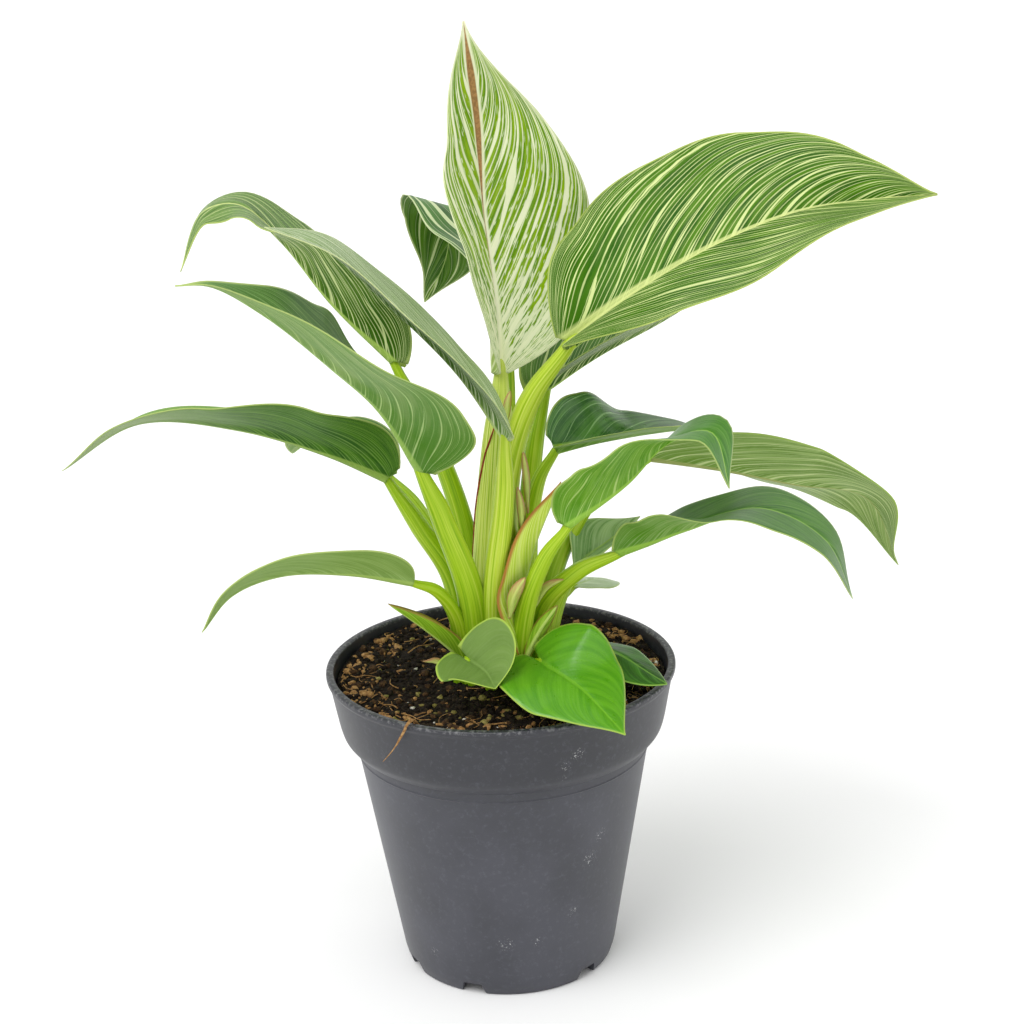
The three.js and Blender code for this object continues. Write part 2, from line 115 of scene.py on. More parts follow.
LEAVES = [
    Leaf("leaf_01", "cream", stalk=[(0, 0), (-1, -1, 130), (1, 3, 172)], rib=[(3.5, 8, 209.5),
         (2.5, 13, 232.5), (-0.5, 16, 262), (-2, 14, 293.5), (-4.5, 0, 325)],
         left=[80, 76, 60, 22], right=[-4, -28, -7, 8], width=37.5, belly=0.35, cup=10, lobe=0.006,
         fullness=2.35, heading=90, girth=(9, 3.2)),
    Leaf("leaf_02", "striped", stalk=[(8, -9), (2.8, -10.5, 160), (6.3, -9, 187.5), (14, -8, 207)],
         rib=[(25, -8, 223), (49, -6, 239), (75, -4, 253), (101, -2, 262), (124, 0, 264.5),
         (146, 2, 265)], left=[88, 48, 46, 55, 72, 88], right=[8, 0, -6, -2, -1], width=39.5,
         belly=0.37, cup=-6, lobe=0.016, fullness=1.95, girth=(5, 3.4)),
    Leaf("leaf_03", "striped", stalk=[(1, 13), (3, 17, 150), (5, 22, 195)], rib=[(6.5, 26, 222),
         (-2.5, 38, 244), (-10, 52, 256.5), (-12, 64, 250.5), (-15.7, 73, 233.5),
         (-23.5, 78, 218)], left=[50, 45, 18, 20, -4, -5], right=[8, -10, -36, -46, 0], width=19.8,
         belly=0.39, cup=0, lobe=0.08, girth=(4, 2.4)),
    Leaf("leaf_04", "striped", stalk=[(-8, 8), (-10, 9, 150), (-18, 12, 180)], rib=[(-32, 20, 212),
         (-52, 24, 232), (-68, 28, 252), (-83, 30, 264.5), (-95, 29, 262), (-103, 26, 243)],
         left=[74, 50, 40, 5, -34, -44], right=[5, 8, 10, 6, 2, 12], width=25, belly=0.33,
         lobe=0.04, fullness=2.2, girth=(4, 2.4)),
    Leaf("leaf_05", "striped", stalk=[(-1, -13), (-1, -17, 140), (3, -21, 172)],
         rib=[(5, -27, 198.5), (-9, -34, 221.5), (-29.5, -43, 245.5), (-48, -50, 264.5),
         (-65, -55, 272.5)], left=[-2, -4, 0], right=[34, 20, 19, 18, 10], width=23, belly=0.42,
         cup=0, lobe=0.02, girth=(4.5, 2.6)),
    Leaf("leaf_06", "pale", stalk=[(-8, -11), (-9, -17, 140), (-17, -25, 170)],
         rib=[(-22.5, -32, 190.5), (-33.5, -43, 213), (-47, -54, 229.5), (-65, -66, 248.5),
         (-80, -76, 260), (-89, -80, 261)], left=[22, 12, 4, 9, 10], right=[8, 22, 36, 50, 40],
         width=32, belly=0.28, cup=6, lobe=0.042, fullness=2.65, girth=(5, 3)),
    Leaf("leaf_07", "green", stalk=[(-12, -1), (-15, -2, 140), (-26, -4, 161)],
         rib=[(-35, -4, 178), (-54, -3, 187), (-83.5, 0, 195.5), (-118, 6, 196.5),
         (-146.5, 13, 178.5)], left=[80, 46, 28, 14, 10], right=[5, -3, 0], width=23, belly=0.3,
         lobe=0.02, girth=(4.2, 2.4)),
    Leaf("leaf_08", "green", stalk=[(-14, -9), (-14, -18, 132), (-20, -25, 145)],
         rib=[(-27.5, -30, 150.5), (-47, -38, 157), (-68.5, -44, 159), (-84, -48, 154),
         (-94, -50, 142.5)], left=[52, 41, 38], right=[3, -1, -5], width=15, belly=0.36, cup=2,
         girth=(3, 1.8)),
    Leaf("leaf_09", "green", stalk=[(-7, 16), (-14, 23, 130), (-28, 42, 152)],
         rib=[(-39.5, 52, 163), (-54, 62, 170), (-65.5, 71, 170.5), (-75, 80, 162)],
         left=[15, 10, 10], right=[20, 15, 10], width=17, belly=0.4, lobe=0.08, girth=(3.2, 1.9)),
    Leaf("leaf_10", "green", stalk=[(11, 4), (11, 6, 150), (15, 7, 172)], rib=[(21, 8, 182.5),
         (38, 14, 183.5), (53.5, 20, 183.5), (68, 26, 182), (79.5, 32, 176)],
         left=[66, 44, 10, 2, 0], right=[18, 18, 18], width=18.5, belly=0.3, cup=6, lobe=0.04,
         fullness=1.35, girth=(3.6, 2.2)),
    Leaf("leaf_11", "green", stalk=[(5, -16), (9, -20, 135), (16, -24, 155)],
         rib=[(23.5, -28, 168), (41.5, -36, 183.5), (55, -44, 199), (68, -50, 203),
         (73, -54, 186)], left=[10, 5, 2, 8, 2], right=[56, 36, 22, -2, 2], width=19, belly=0.36,
         lobe=0.03, girth=(3.6, 2.2)),
    Leaf("leaf_12", "pale", stalk=[(13, 11), (19, 21, 133), (36, 36, 158)], rib=[(55.5, 47, 167),
         (81.5, 54, 159.5), (108.5, 59, 151), (136, 63, 143), (148, 64, 116)],
         left=[-14, -16, -20, -42, -34], right=[50, 49, 48, 22, -20], width=23, belly=0.38,
         lobe=0.03, girth=(4, 2.4)),
    Leaf("leaf_13", "striped", stalk=[(8, 13), (10.6, 18, 150), (14.2, 22, 180)],
         rib=[(18.5, 28, 199.5), (38, 42, 207), (60, 55, 214), (78.5, 66, 221), (95, 76, 225)],
         left=[25, 15, 10], right=[32, 27, 18], width=25, belly=0.38, lobe=0.08, girth=(4, 2.6)),
    Leaf("leaf_14", "green", stalk=[(14, -6), (15, -10, 132), (26, -15, 146)],
         rib=[(40.5, -18, 154.5), (49, -21, 158.5), (61, -26, 164.5), (86, -31, 171.5),
         (106, -34, 161), (115, -35, 141)], left=[4, 8, 4, 7, 10, 0],
         right=[75, 42, 10, -3, -3, 0], width=18, belly=0.42, cup=0, lobe=0.02, girth=(4, 2.4)),
    Leaf("leaf_15", "green", stalk=[(16, 3), (18, 7, 118), (22, 13, 128)], rib=[(27, 18, 135),
         (32, 24, 138), (38, 30, 140), (51, 38, 147)], left=[85, 40, 4], right=[20, 25, 25],
         width=12, belly=0.36, girth=(3, 1.8)),
    Leaf("leaf_16", "pale", stalk=[(15, 17), (16, 19, 113), (20, 22, 121)], rib=[(26.5, 28, 125.5),
         (32.5, 35, 124.8), (38, 41, 123), (43.5, 46.5, 119.3)], left=[-14, -12, -8],
         right=[-6, -10, -10], width=9, belly=0.4, lobe=0.03, girth=(2.4, 1.5)),
    Leaf("juvenile_leaf_1", "young", stalk=[(-3.5, -18), (-4, -21, 113), (-7, -26, 120)],
         rib=[(-11, -34, 124.5), (-4.5, -41, 122), (-1.6, -48.6, 119.3)], left=[62, 56, 40],
         right=[4, 0, 4], width=17, belly=0.4, cup=8, lobe=0.27, girth=(2.6, 1.6)),
    Leaf("juvenile_leaf_2", "young", stalk=[(11, -18), (9, -22, 110), (8, -27, 118)],
         rib=[(12.5, -31, 122), (16, -38, 122), (26, -50, 119), (39, -65, 109)],
         left=[50, 40, 10, 5, 0], right=[4, -6, -15, -14, -6], width=19.5, belly=0.33, cup=-4,
         lobe=0.14, fullness=1.8, girth=(2.8, 1.7)),
    Leaf("juvenile_leaf_3", "young", stalk=[(17, -10), (19, -11, 110), (24, -13, 118)],
         rib=[(32, -16, 120), (40, -22, 119), (48, -27, 115), (55, -30, 111)], left=[-9, -12, -10],
         right=[-12, -16, -14], width=11, belly=0.4, cup=2, lobe=0.15, girth=(2.4, 1.5)),
]
SHEATHS = [
    Leaf("scale_leaf_front", "sheath", rib=[(2.2, -13, 111), (7.6, -13.2, 136), (12.8, -18.2, 157),
         (22, -16, 178)], left=[10, 36, 75], right=[-60, 10, 75], width=13.3, belly=0.3, cup=30,
         heading=-22),
    Leaf("open_sheath_left", "stalk", rib=[(-9.5, -14.5, 110.5), (-14, -17, 118),
         (-24.5, -24, 131), (-36, -28, 142)], left=[40, 45, 40], right=[40, 45, 40], width=6,
         belly=0.4, cup=20),
]

# Small dry scales among the feet of the stalks, too slight to be solids of their own: the tone,
# midrib, left, right, width and belly of each.
HUSKS = [Leaf(f"husk_{number}", *row, cup=20, heading=-90) for number, row in enumerate([
    ("husk", [(4.9, -9, 197), (5.3, -9.4, 203), (6.4, -9, 207.4)], [30, 30], [30, 30], 1.6, 0.5),
    ("husk", [(10.8, -11, 166), (10.8, -12, 177), (9.9, -12, 187.4)], [40, 30], [20, 30], 1.5,
     0.6),
    ("husk", [(9.0, -17, 160), (8.6, -18.4, 171), (7.6, -18, 177.5)], [40, 30], [30, 20], 1.7,
     0.5),
    ("husk", [(3.6, -24, 134), (5.4, -25.2, 142), (9.2, -25.4, 148.6)], [30, 20], [40, 30], 2.6,
     0.5),
    ("husk", [(12, -15, 134), (16.4, -16, 141), (22, -17, 144.4)], [50, 30], [30, 20], 2.0, 0.5),
    ("stalk", [(8, -24, 118), (13.2, -22.4, 128), (19.6, -20, 136.4)], [40, 30], [30, 20], 3.1,
     0.5),
    ("husk", [(-18, -20.6, 115), (-21.4, -22, 118.2), (-25.8, -22.6, 119)], [30, 20], [30, 20],
     1.8, 0.4),
], 1)]


# ---- lines and surfaces ----

def unit(vectors):
    return vectors / np.maximum(np.linalg.norm(vectors, axis=-1, keepdims=True), 1e-12)


def square_to(way, vectors):
    """Unit vectors at right angles to the way, on the side that the given vectors point to."""
    return unit(vectors - np.sum(vectors * way, axis=-1, keepdims=True) * way)


def smooth(x, low=0.0, high=1.0):
    """0 below low, 1 above high, and smooth between."""
    s = np.clip((x - low) / (high - low), 0, 1)
    return s * s * (3 - 2 * s)


def bell(x, width):
    return np.exp(-(x / width) ** 2)


def turns(count):
    """Angles spread evenly round a circle."""
    return np.linspace(0, 2 * math.pi, count, endpoint=False)


def rings(centre, first, second, radius, sides):
    """Circles of points round each centre, from its two spokes at right angles."""
    turn = turns(sides)[:, None]
    spoke = first[:, None] * np.cos(turn) + second[:, None] * np.sin(turn)
    return centre[:, None] + spoke * radius[..., None]


class Curve:
    """The smooth line through given points, with its places spread evenly by length."""

    def __init__(self, points):
        given = np.array(points, float)
        before = 2 * given[0] - given[1]
        after = 2 * given[-1] - given[-2]
        self.knots = np.vstack([before, given, after])
        self.fine = np.linspace(0, 1, 401)
        steps = np.linalg.norm(np.diff(self.place(self.fine), axis=0), axis=1)
        reach = np.concatenate([[0], np.cumsum(steps)])
        self.length = reach[-1]
        self.share = reach / self.length

    def place(self, t):
        """Places on the centripetal Catmull-Rom line, for t from 0 to 1 over its spans."""
        spans = len(self.knots) - 3
        spot = np.clip(t, 0, 1) * spans
        index = np.minimum(spot.astype(int), spans - 1)
        w = (spot - index)[..., None]
        p0, p1, p2, p3 = (self.knots[index + k] for k in range(4))
        d0, d1, d2 = (np.linalg.norm(b - a, axis=-1, keepdims=True) ** 0.5
                      for a, b in ((p0, p1), (p1, p2), (p2, p3)))
        m1 = ((p1 - p0) / d0 - (p2 - p0) / (d0 + d1) + (p2 - p1) / d1) * d1
        m2 = ((p2 - p1) / d1 - (p3 - p1) / (d1 + d2) + (p3 - p2) / d2) * d1
        cubic = 2 * (p1 - p2) + m1 + m2
        square = 3 * (p2 - p1) - 2 * m1 - m2
        return p1 + w * m1 + w ** 2 * square + w ** 3 * cubic

    def points(self, share):
        return self.place(np.interp(share, self.share, self.fine))

    def tangents(self, share):
        step = 1e-3
        return unit(self.points(np.clip(share + step, 0, 1))
                    - self.points(np.clip(share - step, 0, 1)))


def along(stations, t):
    """The value at t of a smooth line through the numbers in stations, spread evenly over 0..1."""
    stations = np.array(stations, float)
    spot = np.clip(t, 0, 1) * (len(stations) - 1)
    index = np.minimum(spot.astype(int), len(stations) - 2)
    blend = smooth(spot - index)
    return stations[index] * (1 - blend) + stations[index + 1] * blend


def heading_of(leaf):
    """The level way that a leaf points."""
    if leaf.heading is not None:
        angle = math.radians(leaf.heading)
        return np.array([math.cos(angle), math.sin(angle), 0.0])
    way = leaf.rib[-1] - leaf.rib[0]
    way[2] = 0
    return unit(way)


def half_width(leaf, t):
    """How far a blade reaches to each side of its midrib at t."""
    rise = leaf.fullness * leaf.belly
    fall = leaf.fullness - rise
    widest = leaf.belly ** rise * (1 - leaf.belly) ** fall
    return leaf.width * (((t + BASE_SHARE) ** rise * (1 - t) ** fall) / widest + TIP_SHARE)


def blade_points(leaf, curve, t, u):
    """Places on a blade's middle surface, for t from base to tip and u from -1, left, to 1."""
    back = leaf.lobe * curve.length * (1 - t) ** 3 * np.abs(u) ** 1.4
    s = t - back / curve.length
    inside = np.clip(s, 0, 1)
    tangent = curve.tangents(inside)
    centre = curve.points(inside) + tangent * ((s - inside) * curve.length)[..., None]
    side = square_to(tangent, np.cross(heading_of(leaf), UP))
    normal = np.cross(side, tangent)
    rise = np.radians(np.where(u < 0, along(leaf.left, t), along(leaf.right, t)))
    mean = rise + 0.5 * math.radians(leaf.cup) * np.abs(u)
    reach = half_width(leaf, t) * np.abs(u)
    return (centre + side * (np.sign(u) * reach * np.cos(mean))[..., None]
            + normal * (reach * np.sin(mean))[..., None])


# ---- meshes ----

def mesh_object(name, points, faces, materials, attributes=None, face_material=None):
    """A mesh object from points in millimetres, with named numbers on its points."""
    mesh = bpy.data.meshes.new(name)
    mesh.from_pydata((np.asarray(points) * MM).tolist(), [], [list(map(int, f)) for f in faces])
    for material in materials:
        mesh.materials.append(material)
    if face_material is not None:
        mesh.polygons.foreach_set("material_index", np.asarray(face_material, np.int32))
    mesh.polygons.foreach_set("use_smooth", np.ones(len(mesh.polygons), bool))
    for key, values in (attributes or {}).items():
        layer = mesh.attributes.new(key, "FLOAT", "POINT")
        layer.data.foreach_set("value", np.asarray(values, np.float32).ravel())
    mesh.update()
    thing = bpy.data.objects.new(name, mesh)
    bpy.context.scene.collection.objects.link(thing)
    return thing


def piece(thing, slot, *nodes):
    """Hides the solids that a piece stands for and lets it ride; slot, its finish, is not used."""
    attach(thing, "root")
    if nodes:
        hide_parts(*nodes)


def grid_faces(rows, columns, start=0, flip=False, closed=False):
    """Quads over a grid of points, (rows + 1) by (columns + 1), or by columns where closed."""
    width = columns if closed else columns + 1
    faces = []
    for i in range(rows):
        for j in range(columns):
            a = start + i * width + j
            b = start + i * width + (j + 1) % width
            quad = (a, b, b + width, a + width)
            faces.append(quad[::-1] if flip else quad)
    return faces


def tube_faces(rows, sides, flip=False):
    """Faces of a closed tube of rows + 1 rings, whose points its two end points follow."""
    faces = grid_faces(rows, sides, flip=flip, closed=True)
    last = rows * sides
    end = last + sides
    for j in range(sides):
        after = (j + 1) % sides
        fans = [(after, j, end), (last + j, last + after, end + 1)]
        faces += [fan[::-1] for fan in fans] if flip else fans
    return faces


def border_of(rows, columns):
    """The points round a grid's edge, in order."""
    width = columns + 1
    first = list(range(columns))
    right = [i * width + columns for i in range(rows)]
    last = [rows * width + j for j in range(columns, 0, -1)]
    left = [i * width for i in range(rows, 0, -1)]
    return first + right + last + left


def strand(curve, radius_at, steps, sides, start=0):
    """Points and faces of a thin closed tube along a curve; start is its first point's number."""
    share = np.linspace(0, 1, steps + 1)
    tangent = curve.tangents(share)
    first = unit(np.cross(tangent, np.array([0.3, 0.2, 1.0])))
    second = np.cross(tangent, first)
    radius = np.array([radius_at(s) for s in share])[:, None]
    points = rings(curve.points(share), first, second, radius, sides).reshape(-1, 3)
    faces = grid_faces(steps, sides, start=start, closed=True)
    last = start + steps * sides
    faces.append(tuple(range(start, start + sides))[::-1])
    faces.append(tuple(range(last, last + sides)))
    return points, faces


# ---- leaves ----

FINE_GRID = (72, 20)     # quads along a blade and across each half of it
SMALL_GRID = (54, 15)    # the same of a blade less than SMALL_WIDTH wide on each side
SMALL_WIDTH = 20
SMALLEST_KEEL = 0.4      # of a blade that has no stalk
EDGE_WIDTH = 1.2         # how far in from its margin a blade begins to thin
EDGE_THICKNESS = 0.35    # how thick the margin is, as a share
GROOVE_DEPTH = 0.5       # of the groove along the upper side of the midrib
GROOVE_WIDTH = 0.9
BLADE_SEED = 100         # of the first blade's waves
BLADE_SHIFT = 3.7        # how far each blade's patterns are moved on from the last one's
RIPPLE = 0.014           # height of a blade's waves, as a share of its half-width

# How fast the side veins leave the midrib and close on the margin, at a blade's base and tip.
VEIN_SWEEP = (2.6, 0.4)
OWN_SWEEP = {"leaf_01": (2.3, 0.3)}
VEIN_FAN = 0.42          # below 1, the veins that fan out of the stalk's end stand wider
LEFT_SPACING = {"leaf_01": 2.1, "leaf_03": 1.6}     # how much wider they stand in the left half


def vein_start(t, reach, sweep):
    """Where on the midrib the side vein through a place on the blade begins, from 0, base, to 1.

    Side veins bend towards the tip and close up along the margin. Below 0 are the veins that
    fan out of the end of the stalk.
    """
    begins = np.linspace(-2, 1, 400)
    power = sweep[0] + (sweep[1] - sweep[0]) * np.maximum(begins, 0) ** 0.6
    start = np.empty_like(t)
    for column, share in enumerate(reach[0]):
        passes = 1 - (1 - begins) * (1 - 0.9 * share) ** (1 / power)
        start[:, column] = np.interp(t[:, column], passes, begins)
    return np.where(start < 0, VEIN_FAN * start, start)


def ripples(leaf, number, t, u):
    """The height of a blade's seeded waves, which grow towards its margins."""
    phase = np.random.default_rng(BLADE_SEED + number).uniform(0, 2 * math.pi, 4)
    waves = np.sin(9 * t + phase[0] + 2 * np.sign(u)) + 0.6 * np.sin(21 * t + phase[1])
    return waves * RIPPLE * leaf.width * np.abs(u) ** 2.5 * smooth(t, 0, 0.15) * (1 - t)


def blade(leaf, number, materials):
    """A blade with a rolled edge, a grooved midrib above and a keel below."""
    rows, half = SMALL_GRID if leaf.width < SMALL_WIDTH else FINE_GRID
    columns = 2 * half
    curve = Curve(leaf.rib)
    one_side = np.linspace(0, 1, half + 1)[1:] ** 1.15
    u_row = np.concatenate([-one_side[::-1], [0], one_side])
    t_column = np.linspace(0, 1, rows + 1) ** ROW_CROWDING
    t, u = np.meshgrid(t_column, u_row, indexing="ij")
    grid = blade_points(leaf, curve, t, u)
    normal = unit(np.cross(np.gradient(grid, axis=1), np.gradient(grid, axis=0)))
    grid = grid + normal * ripples(leaf, number, t, u)[..., None]
    from_rib = half_width(leaf, t) * np.abs(u)
    from_edge = half_width(leaf, t) * (1 - np.abs(u))

    keel = leaf.girth[1] if leaf.girth else SMALLEST_KEEL
    groove = GROOVE_DEPTH * bell(from_rib, GROOVE_WIDTH) * (1 - t) ** 0.5
    depth = keel * (1 - t) ** 1.3 * bell(from_rib, 0.75 * keel * (1 - t) ** 0.5 + 0.2)
    edge = EDGE_THICKNESS + (1 - EDGE_THICKNESS) * smooth(from_edge, 0, EDGE_WIDTH)
    half_thick = 0.5 * LEAF_THICKNESS * edge
    sunk = np.minimum(groove, 0.8 * (half_thick + depth))
    upper = grid + normal * (half_thick - sunk)[..., None]
    lower = grid - normal * (half_thick + depth)[..., None]

    count = t.size
    faces = grid_faces(rows, columns) + grid_faces(rows, columns, start=count, flip=True)
    face_material = np.repeat([0, 1], rows * columns).tolist()
    border = border_of(rows, columns)
    for p, q in zip(border, border[1:] + border[:1]):
        faces.append((q, p, p + count, q + count))
        face_material.append(0)

    start = vein_start(t, np.abs(u), OWN_SWEEP.get(leaf.name, VEIN_SWEEP)) * curve.length
    marks = {
        "vein": start / np.where(u < 0, LEFT_SPACING.get(leaf.name, 1), 1),
        "out": t * curve.length + from_rib,
        "across": np.sign(u) * from_rib,
        "edge": from_edge,
        "along": t,
        "seed": np.full(t.shape, BLADE_SHIFT * number),
    }
    attributes = {key: np.tile(values.ravel(), 2) for key, values in marks.items()}
    points = np.vstack([upper, lower]).reshape(-1, 3)
    return mesh_object(f"{leaf.name}_fine_blade", points, faces, materials, attributes,
                       face_material)


# ---- stalks ----

STALK_STEPS = 44
STALK_SIDES = 40
SHEATH_END = 0.55        # how far up a stalk its wings reach
WING_TURN = 1.0          # radians from the middle of its upper side
WING_HEIGHT = 0.1        # as a share of the stalk's radius
GROOVE_SHARE = 0.22      # how deep the groove above is, as a share of it
STALK_SEED = 300
STALK_SHIFT = 5.3


def stalk_radius(leaf, share):
    foot, end = leaf.girth
    return end + (foot - end) * (1 - share ** 2.2)


def stalk(leaf, number, material):
    """A leaf stalk: a broad striated base that clasps, a groove above, and a rounded end."""
    curve = Curve(leaf.stalk)
    foot, end = leaf.girth
    share = np.linspace(0, 1, STALK_STEPS + 1)
    centre = curve.points(share)
    tangent = curve.tangents(share)
    blade_way = unit(leaf.rib[1] - leaf.rib[0])
    face = unit(np.cross(unit(np.cross(heading_of(leaf), UP)), blade_way))
    neck = smooth(share, 0.8, 1)
    centre = centre - face * 0.4 * end * neck[:, None]
    radius = stalk_radius(leaf, share) - 0.3 * end * neck

    cap = np.sin(np.linspace(0, math.pi / 2, 7)[1:])
    way = unit(0.4 * tangent[-1] + blade_way)
    centre = np.vstack([centre, centre[-1] + end * np.outer(cap, 1.6 * way)])
    tangent = np.vstack([tangent, np.tile(way, (len(cap), 1))])
    radius = np.concatenate([radius, 0.7 * end * np.sqrt(np.maximum(1 - cap ** 2, 0.002))])
    share = np.concatenate([share, np.ones(len(cap))])
    rows = len(share) - 1

    above = square_to(tangent, -heading_of(leaf))
    turn = turns(STALK_SIDES)
    bend = np.where(turn > math.pi, turn - 2 * math.pi, turn)
    grooved = GROOVE_SHARE * smooth(share, 0.35, 0.95)[:, None] * bell(bend, 0.55)
    in_sheath = 1 - smooth(share, SHEATH_END - 0.2, SHEATH_END)[:, None]
    wings = WING_HEIGHT * in_sheath * bell(np.abs(bend) - WING_TURN, 0.16)
    shifts = np.random.default_rng(STALK_SEED + number).uniform(0, 2 * math.pi, 3)
    ribs = 0.012 * np.sin(11 * turn + shifts[0]) + 0.008 * np.sin(17 * turn + shifts[1])
    scale = 1 - grooved + wings + ribs * (1 - share ** 2)[:, None]
    tube = rings(centre, above, np.cross(tangent, above), radius[:, None] * scale, STALK_SIDES)
    points = np.vstack([tube.reshape(-1, 3), centre[0], centre[-1] + way * 0.02])

    near_wing = (1 - smooth(share, SHEATH_END - 0.1, SHEATH_END))[:, None]
    # The values on the tube, and on the two points at its ends.
    marks = {
        "around": (np.tile(bend * foot, (rows + 1, 1)), 0, 0),
        "lengthwise": (np.repeat(share * curve.length, STALK_SIDES), 0, curve.length),
        "along": (np.repeat(share, STALK_SIDES), 0, 1),
        "wing": (near_wing * bell(np.abs(bend) - WING_TURN, 0.1), 0, 0),
    }
    attributes = {key: np.append(values.ravel(), ends) for key, (values, *ends) in marks.items()}
    attributes["seed"] = np.full(len(points), STALK_SHIFT * number)
    return mesh_object(f"{leaf.name}_fine_stalk", points, tube_faces(rows, STALK_SIDES),
                       [material], attributes)


# How far the sheath's edge has wound round the stalk, in degrees, at shares of its length.
EDGE_SHARES = [0.42, 0.5, 0.6, 0.7, 0.78, 0.88]
EDGE_TURNS = [72, 78, 84, 66, 48, 8]


def sheath_edge(leaf, material):
    """The thin red edge of the newest leaf's sheath, winding down the front of its stalk."""
    share = np.linspace(EDGE_SHARES[-1], EDGE_SHARES[0], 40)
    turn = np.radians(np.interp(share, EDGE_SHARES, EDGE_TURNS))
    outward = np.stack([-np.sin(turn), -np.cos(turn), np.zeros_like(turn)], axis=1)
    path = Curve(Curve(leaf.stalk).points(share) + outward * stalk_radius(leaf, share)[:, None])
    shape = strand(path, lambda s: 0.08 + 0.4 * math.sin(math.pi * (0.05 + 0.9 * s)), 90, 8)
    return mesh_object("sheath_edge", *shape, [material])


# ---- materials ----

def linear(red, green, blue):
    """A colour given as it looks on a screen, 0 to 255, as Blender's linear numbers."""
    shares = [c / 255 for c in (red, green, blue)]
    return (*[c / 12.92 if c <= 0.04045 else ((c + 0.055) / 1.055) ** 2.4 for c in shares], 1.0)


class Value:
    """A number that a shader's nodes work out; sums with it are more nodes."""

    def __init__(self, look, socket):
        self.look = look
        self.socket = socket

    def __add__(self, other):
        return self.look.math("ADD", self, other)

    def __sub__(self, other):
        return self.look.math("SUBTRACT", self, other)

    def __rsub__(self, other):
        return self.look.math("SUBTRACT", other, self)

    def __mul__(self, other):
        return self.look.math("MULTIPLY", self, other)

    def __truediv__(self, other):
        return self.look.math("DIVIDE", self, other)

    def __pow__(self, other):
        return self.look.math("POWER", self, other)

    def __abs__(self):
        return self.look.math("ABSOLUTE", self)


class Shader:
    """A material and short calls for its nodes; colours are 0 to 255, as seen on a screen."""

    def __init__(self, name, roughness, specular):
        self.material = bpy.data.materials.new(name)
        self.material.use_nodes = True
        self.tree = self.material.node_tree
        self.surface = self.tree.nodes["Principled BSDF"]
        self.surface.inputs["Specular IOR Level"].default_value = specular
        self.surface.inputs["Roughness"].default_value = roughness
        self.colour = None

    def put(self, socket, value):
        """Gives an input a number, a colour or what another node works out."""
        if isinstance(value, Value):
            value = value.socket
        if isinstance(value, bpy.types.NodeSocket):
            self.tree.links.new(value, socket)
        else:
            socket.default_value = linear(*value) if isinstance(value, tuple) else value

    def node(self, kind, inputs, **settings):
        """A new node's outputs; inputs says by name or number what goes into it."""
        made = self.tree.nodes.new("ShaderNode" + kind)
        for key, value in settings.items():
            setattr(made, key, value)
        for key, value in inputs.items():
            self.put(made.inputs[key], value)
        return made.outputs

    def attribute(self, name):
        return Value(self, self.node("Attribute", {}, attribute_name=name)["Fac"])

    def math(self, operation, *values):
        inputs = dict(enumerate(values))
        return Value(self, self.node("Math", inputs, operation=operation)[0])

    def vector(self, x, y, z):
        return self.node("CombineXYZ", {"X": x, "Y": y, "Z": z})[0]

    def place(self):
        """The place in the object's own space, in millimetres."""
        inputs = {0: self.node("TexCoord", {})["Object"], "Scale": 1 / MM}
        return self.node("VectorMath", inputs, operation="SCALE")[0]

    def noise(self, place, scale, detail=3.0, roughness=0.5):
        inputs = {"Vector": place, "Scale": scale, "Detail": detail, "Roughness": roughness}
        return Value(self, self.node("TexNoise", inputs)["Fac"])

    def step(self, value, low, high):
        """0 below low, 1 above high, smooth between; high may be below low."""
        inputs = {"Value": value, "From Min": min(low, high), "From Max": max(low, high),
                  "To Min": float(low > high), "To Max": float(low < high)}
        made = self.node("MapRange", inputs, interpolation_type="SMOOTHSTEP")
        return Value(self, made["Result"])

    def mix(self, share, under, over):
        return self.node("Mix", {"Factor": share, 6: under, 7: over}, data_type="RGBA")[2]

    def paint(self, colour, share=None):
        """Lays a colour on what is painted so far; share says how much of it shows."""
        self.colour = colour if share is None else self.mix(share, self.colour, colour)

    def ramp(self, value, stops):
        """The colour for a value among stops, each a place from 0 to 1 and a colour."""
        made = self.node("ValToRGB", {"Fac": value})["Color"]
        points = made.node.color_ramp.elements
        while len(points) < len(stops):
            points.new(0.5)
        for point, (place, colour) in zip(points, stops):
            point.position = place
            point.color = linear(*colour)
        return made

    def finish(self, height=None, strength=None, depth_mm=None, roughness=None):
        """The painted material, with bumps where a height is given."""
        self.put(self.surface.inputs["Base Color"], self.colour)
        if roughness:
            self.put(self.surface.inputs["Roughness"], roughness)
        if height:
            inputs = {"Strength": strength, "Distance": depth_mm * MM, "Height": height}
            self.put(self.surface.inputs["Normal"], self.node("Bump", inputs)[0])
        return self.material


@dataclass
class Skin:
    """How one surface of a leaf looks. Colours are 0 to 255 as seen on a screen."""
    dark: tuple
    mid: tuple
    light: tuple
    lines: tuple = (2.3, 0.15, 0.6)     # thin stripes: mm apart, share that is stripe, strength
    bands: tuple = (11.0, 0.07, 0.9)    # the same of the bold, uneven stripes
    rib: tuple = (190, 212, 112)
    rib_width: float = 0.8              # half-width of the midrib at its base, in mm
    margin: tuple = (186, 204, 120)
    margin_width: float = 0.85          # in mm
    base: tuple = None                  # colour towards the base, if it differs
    tip: tuple = None                   # colour towards the tip, if it differs: painted sheen on leaves, a dry tip on husks
    gloss: float = 0.2
    rough: float = 0.5
    even: bool = False                  # nearly one colour all over


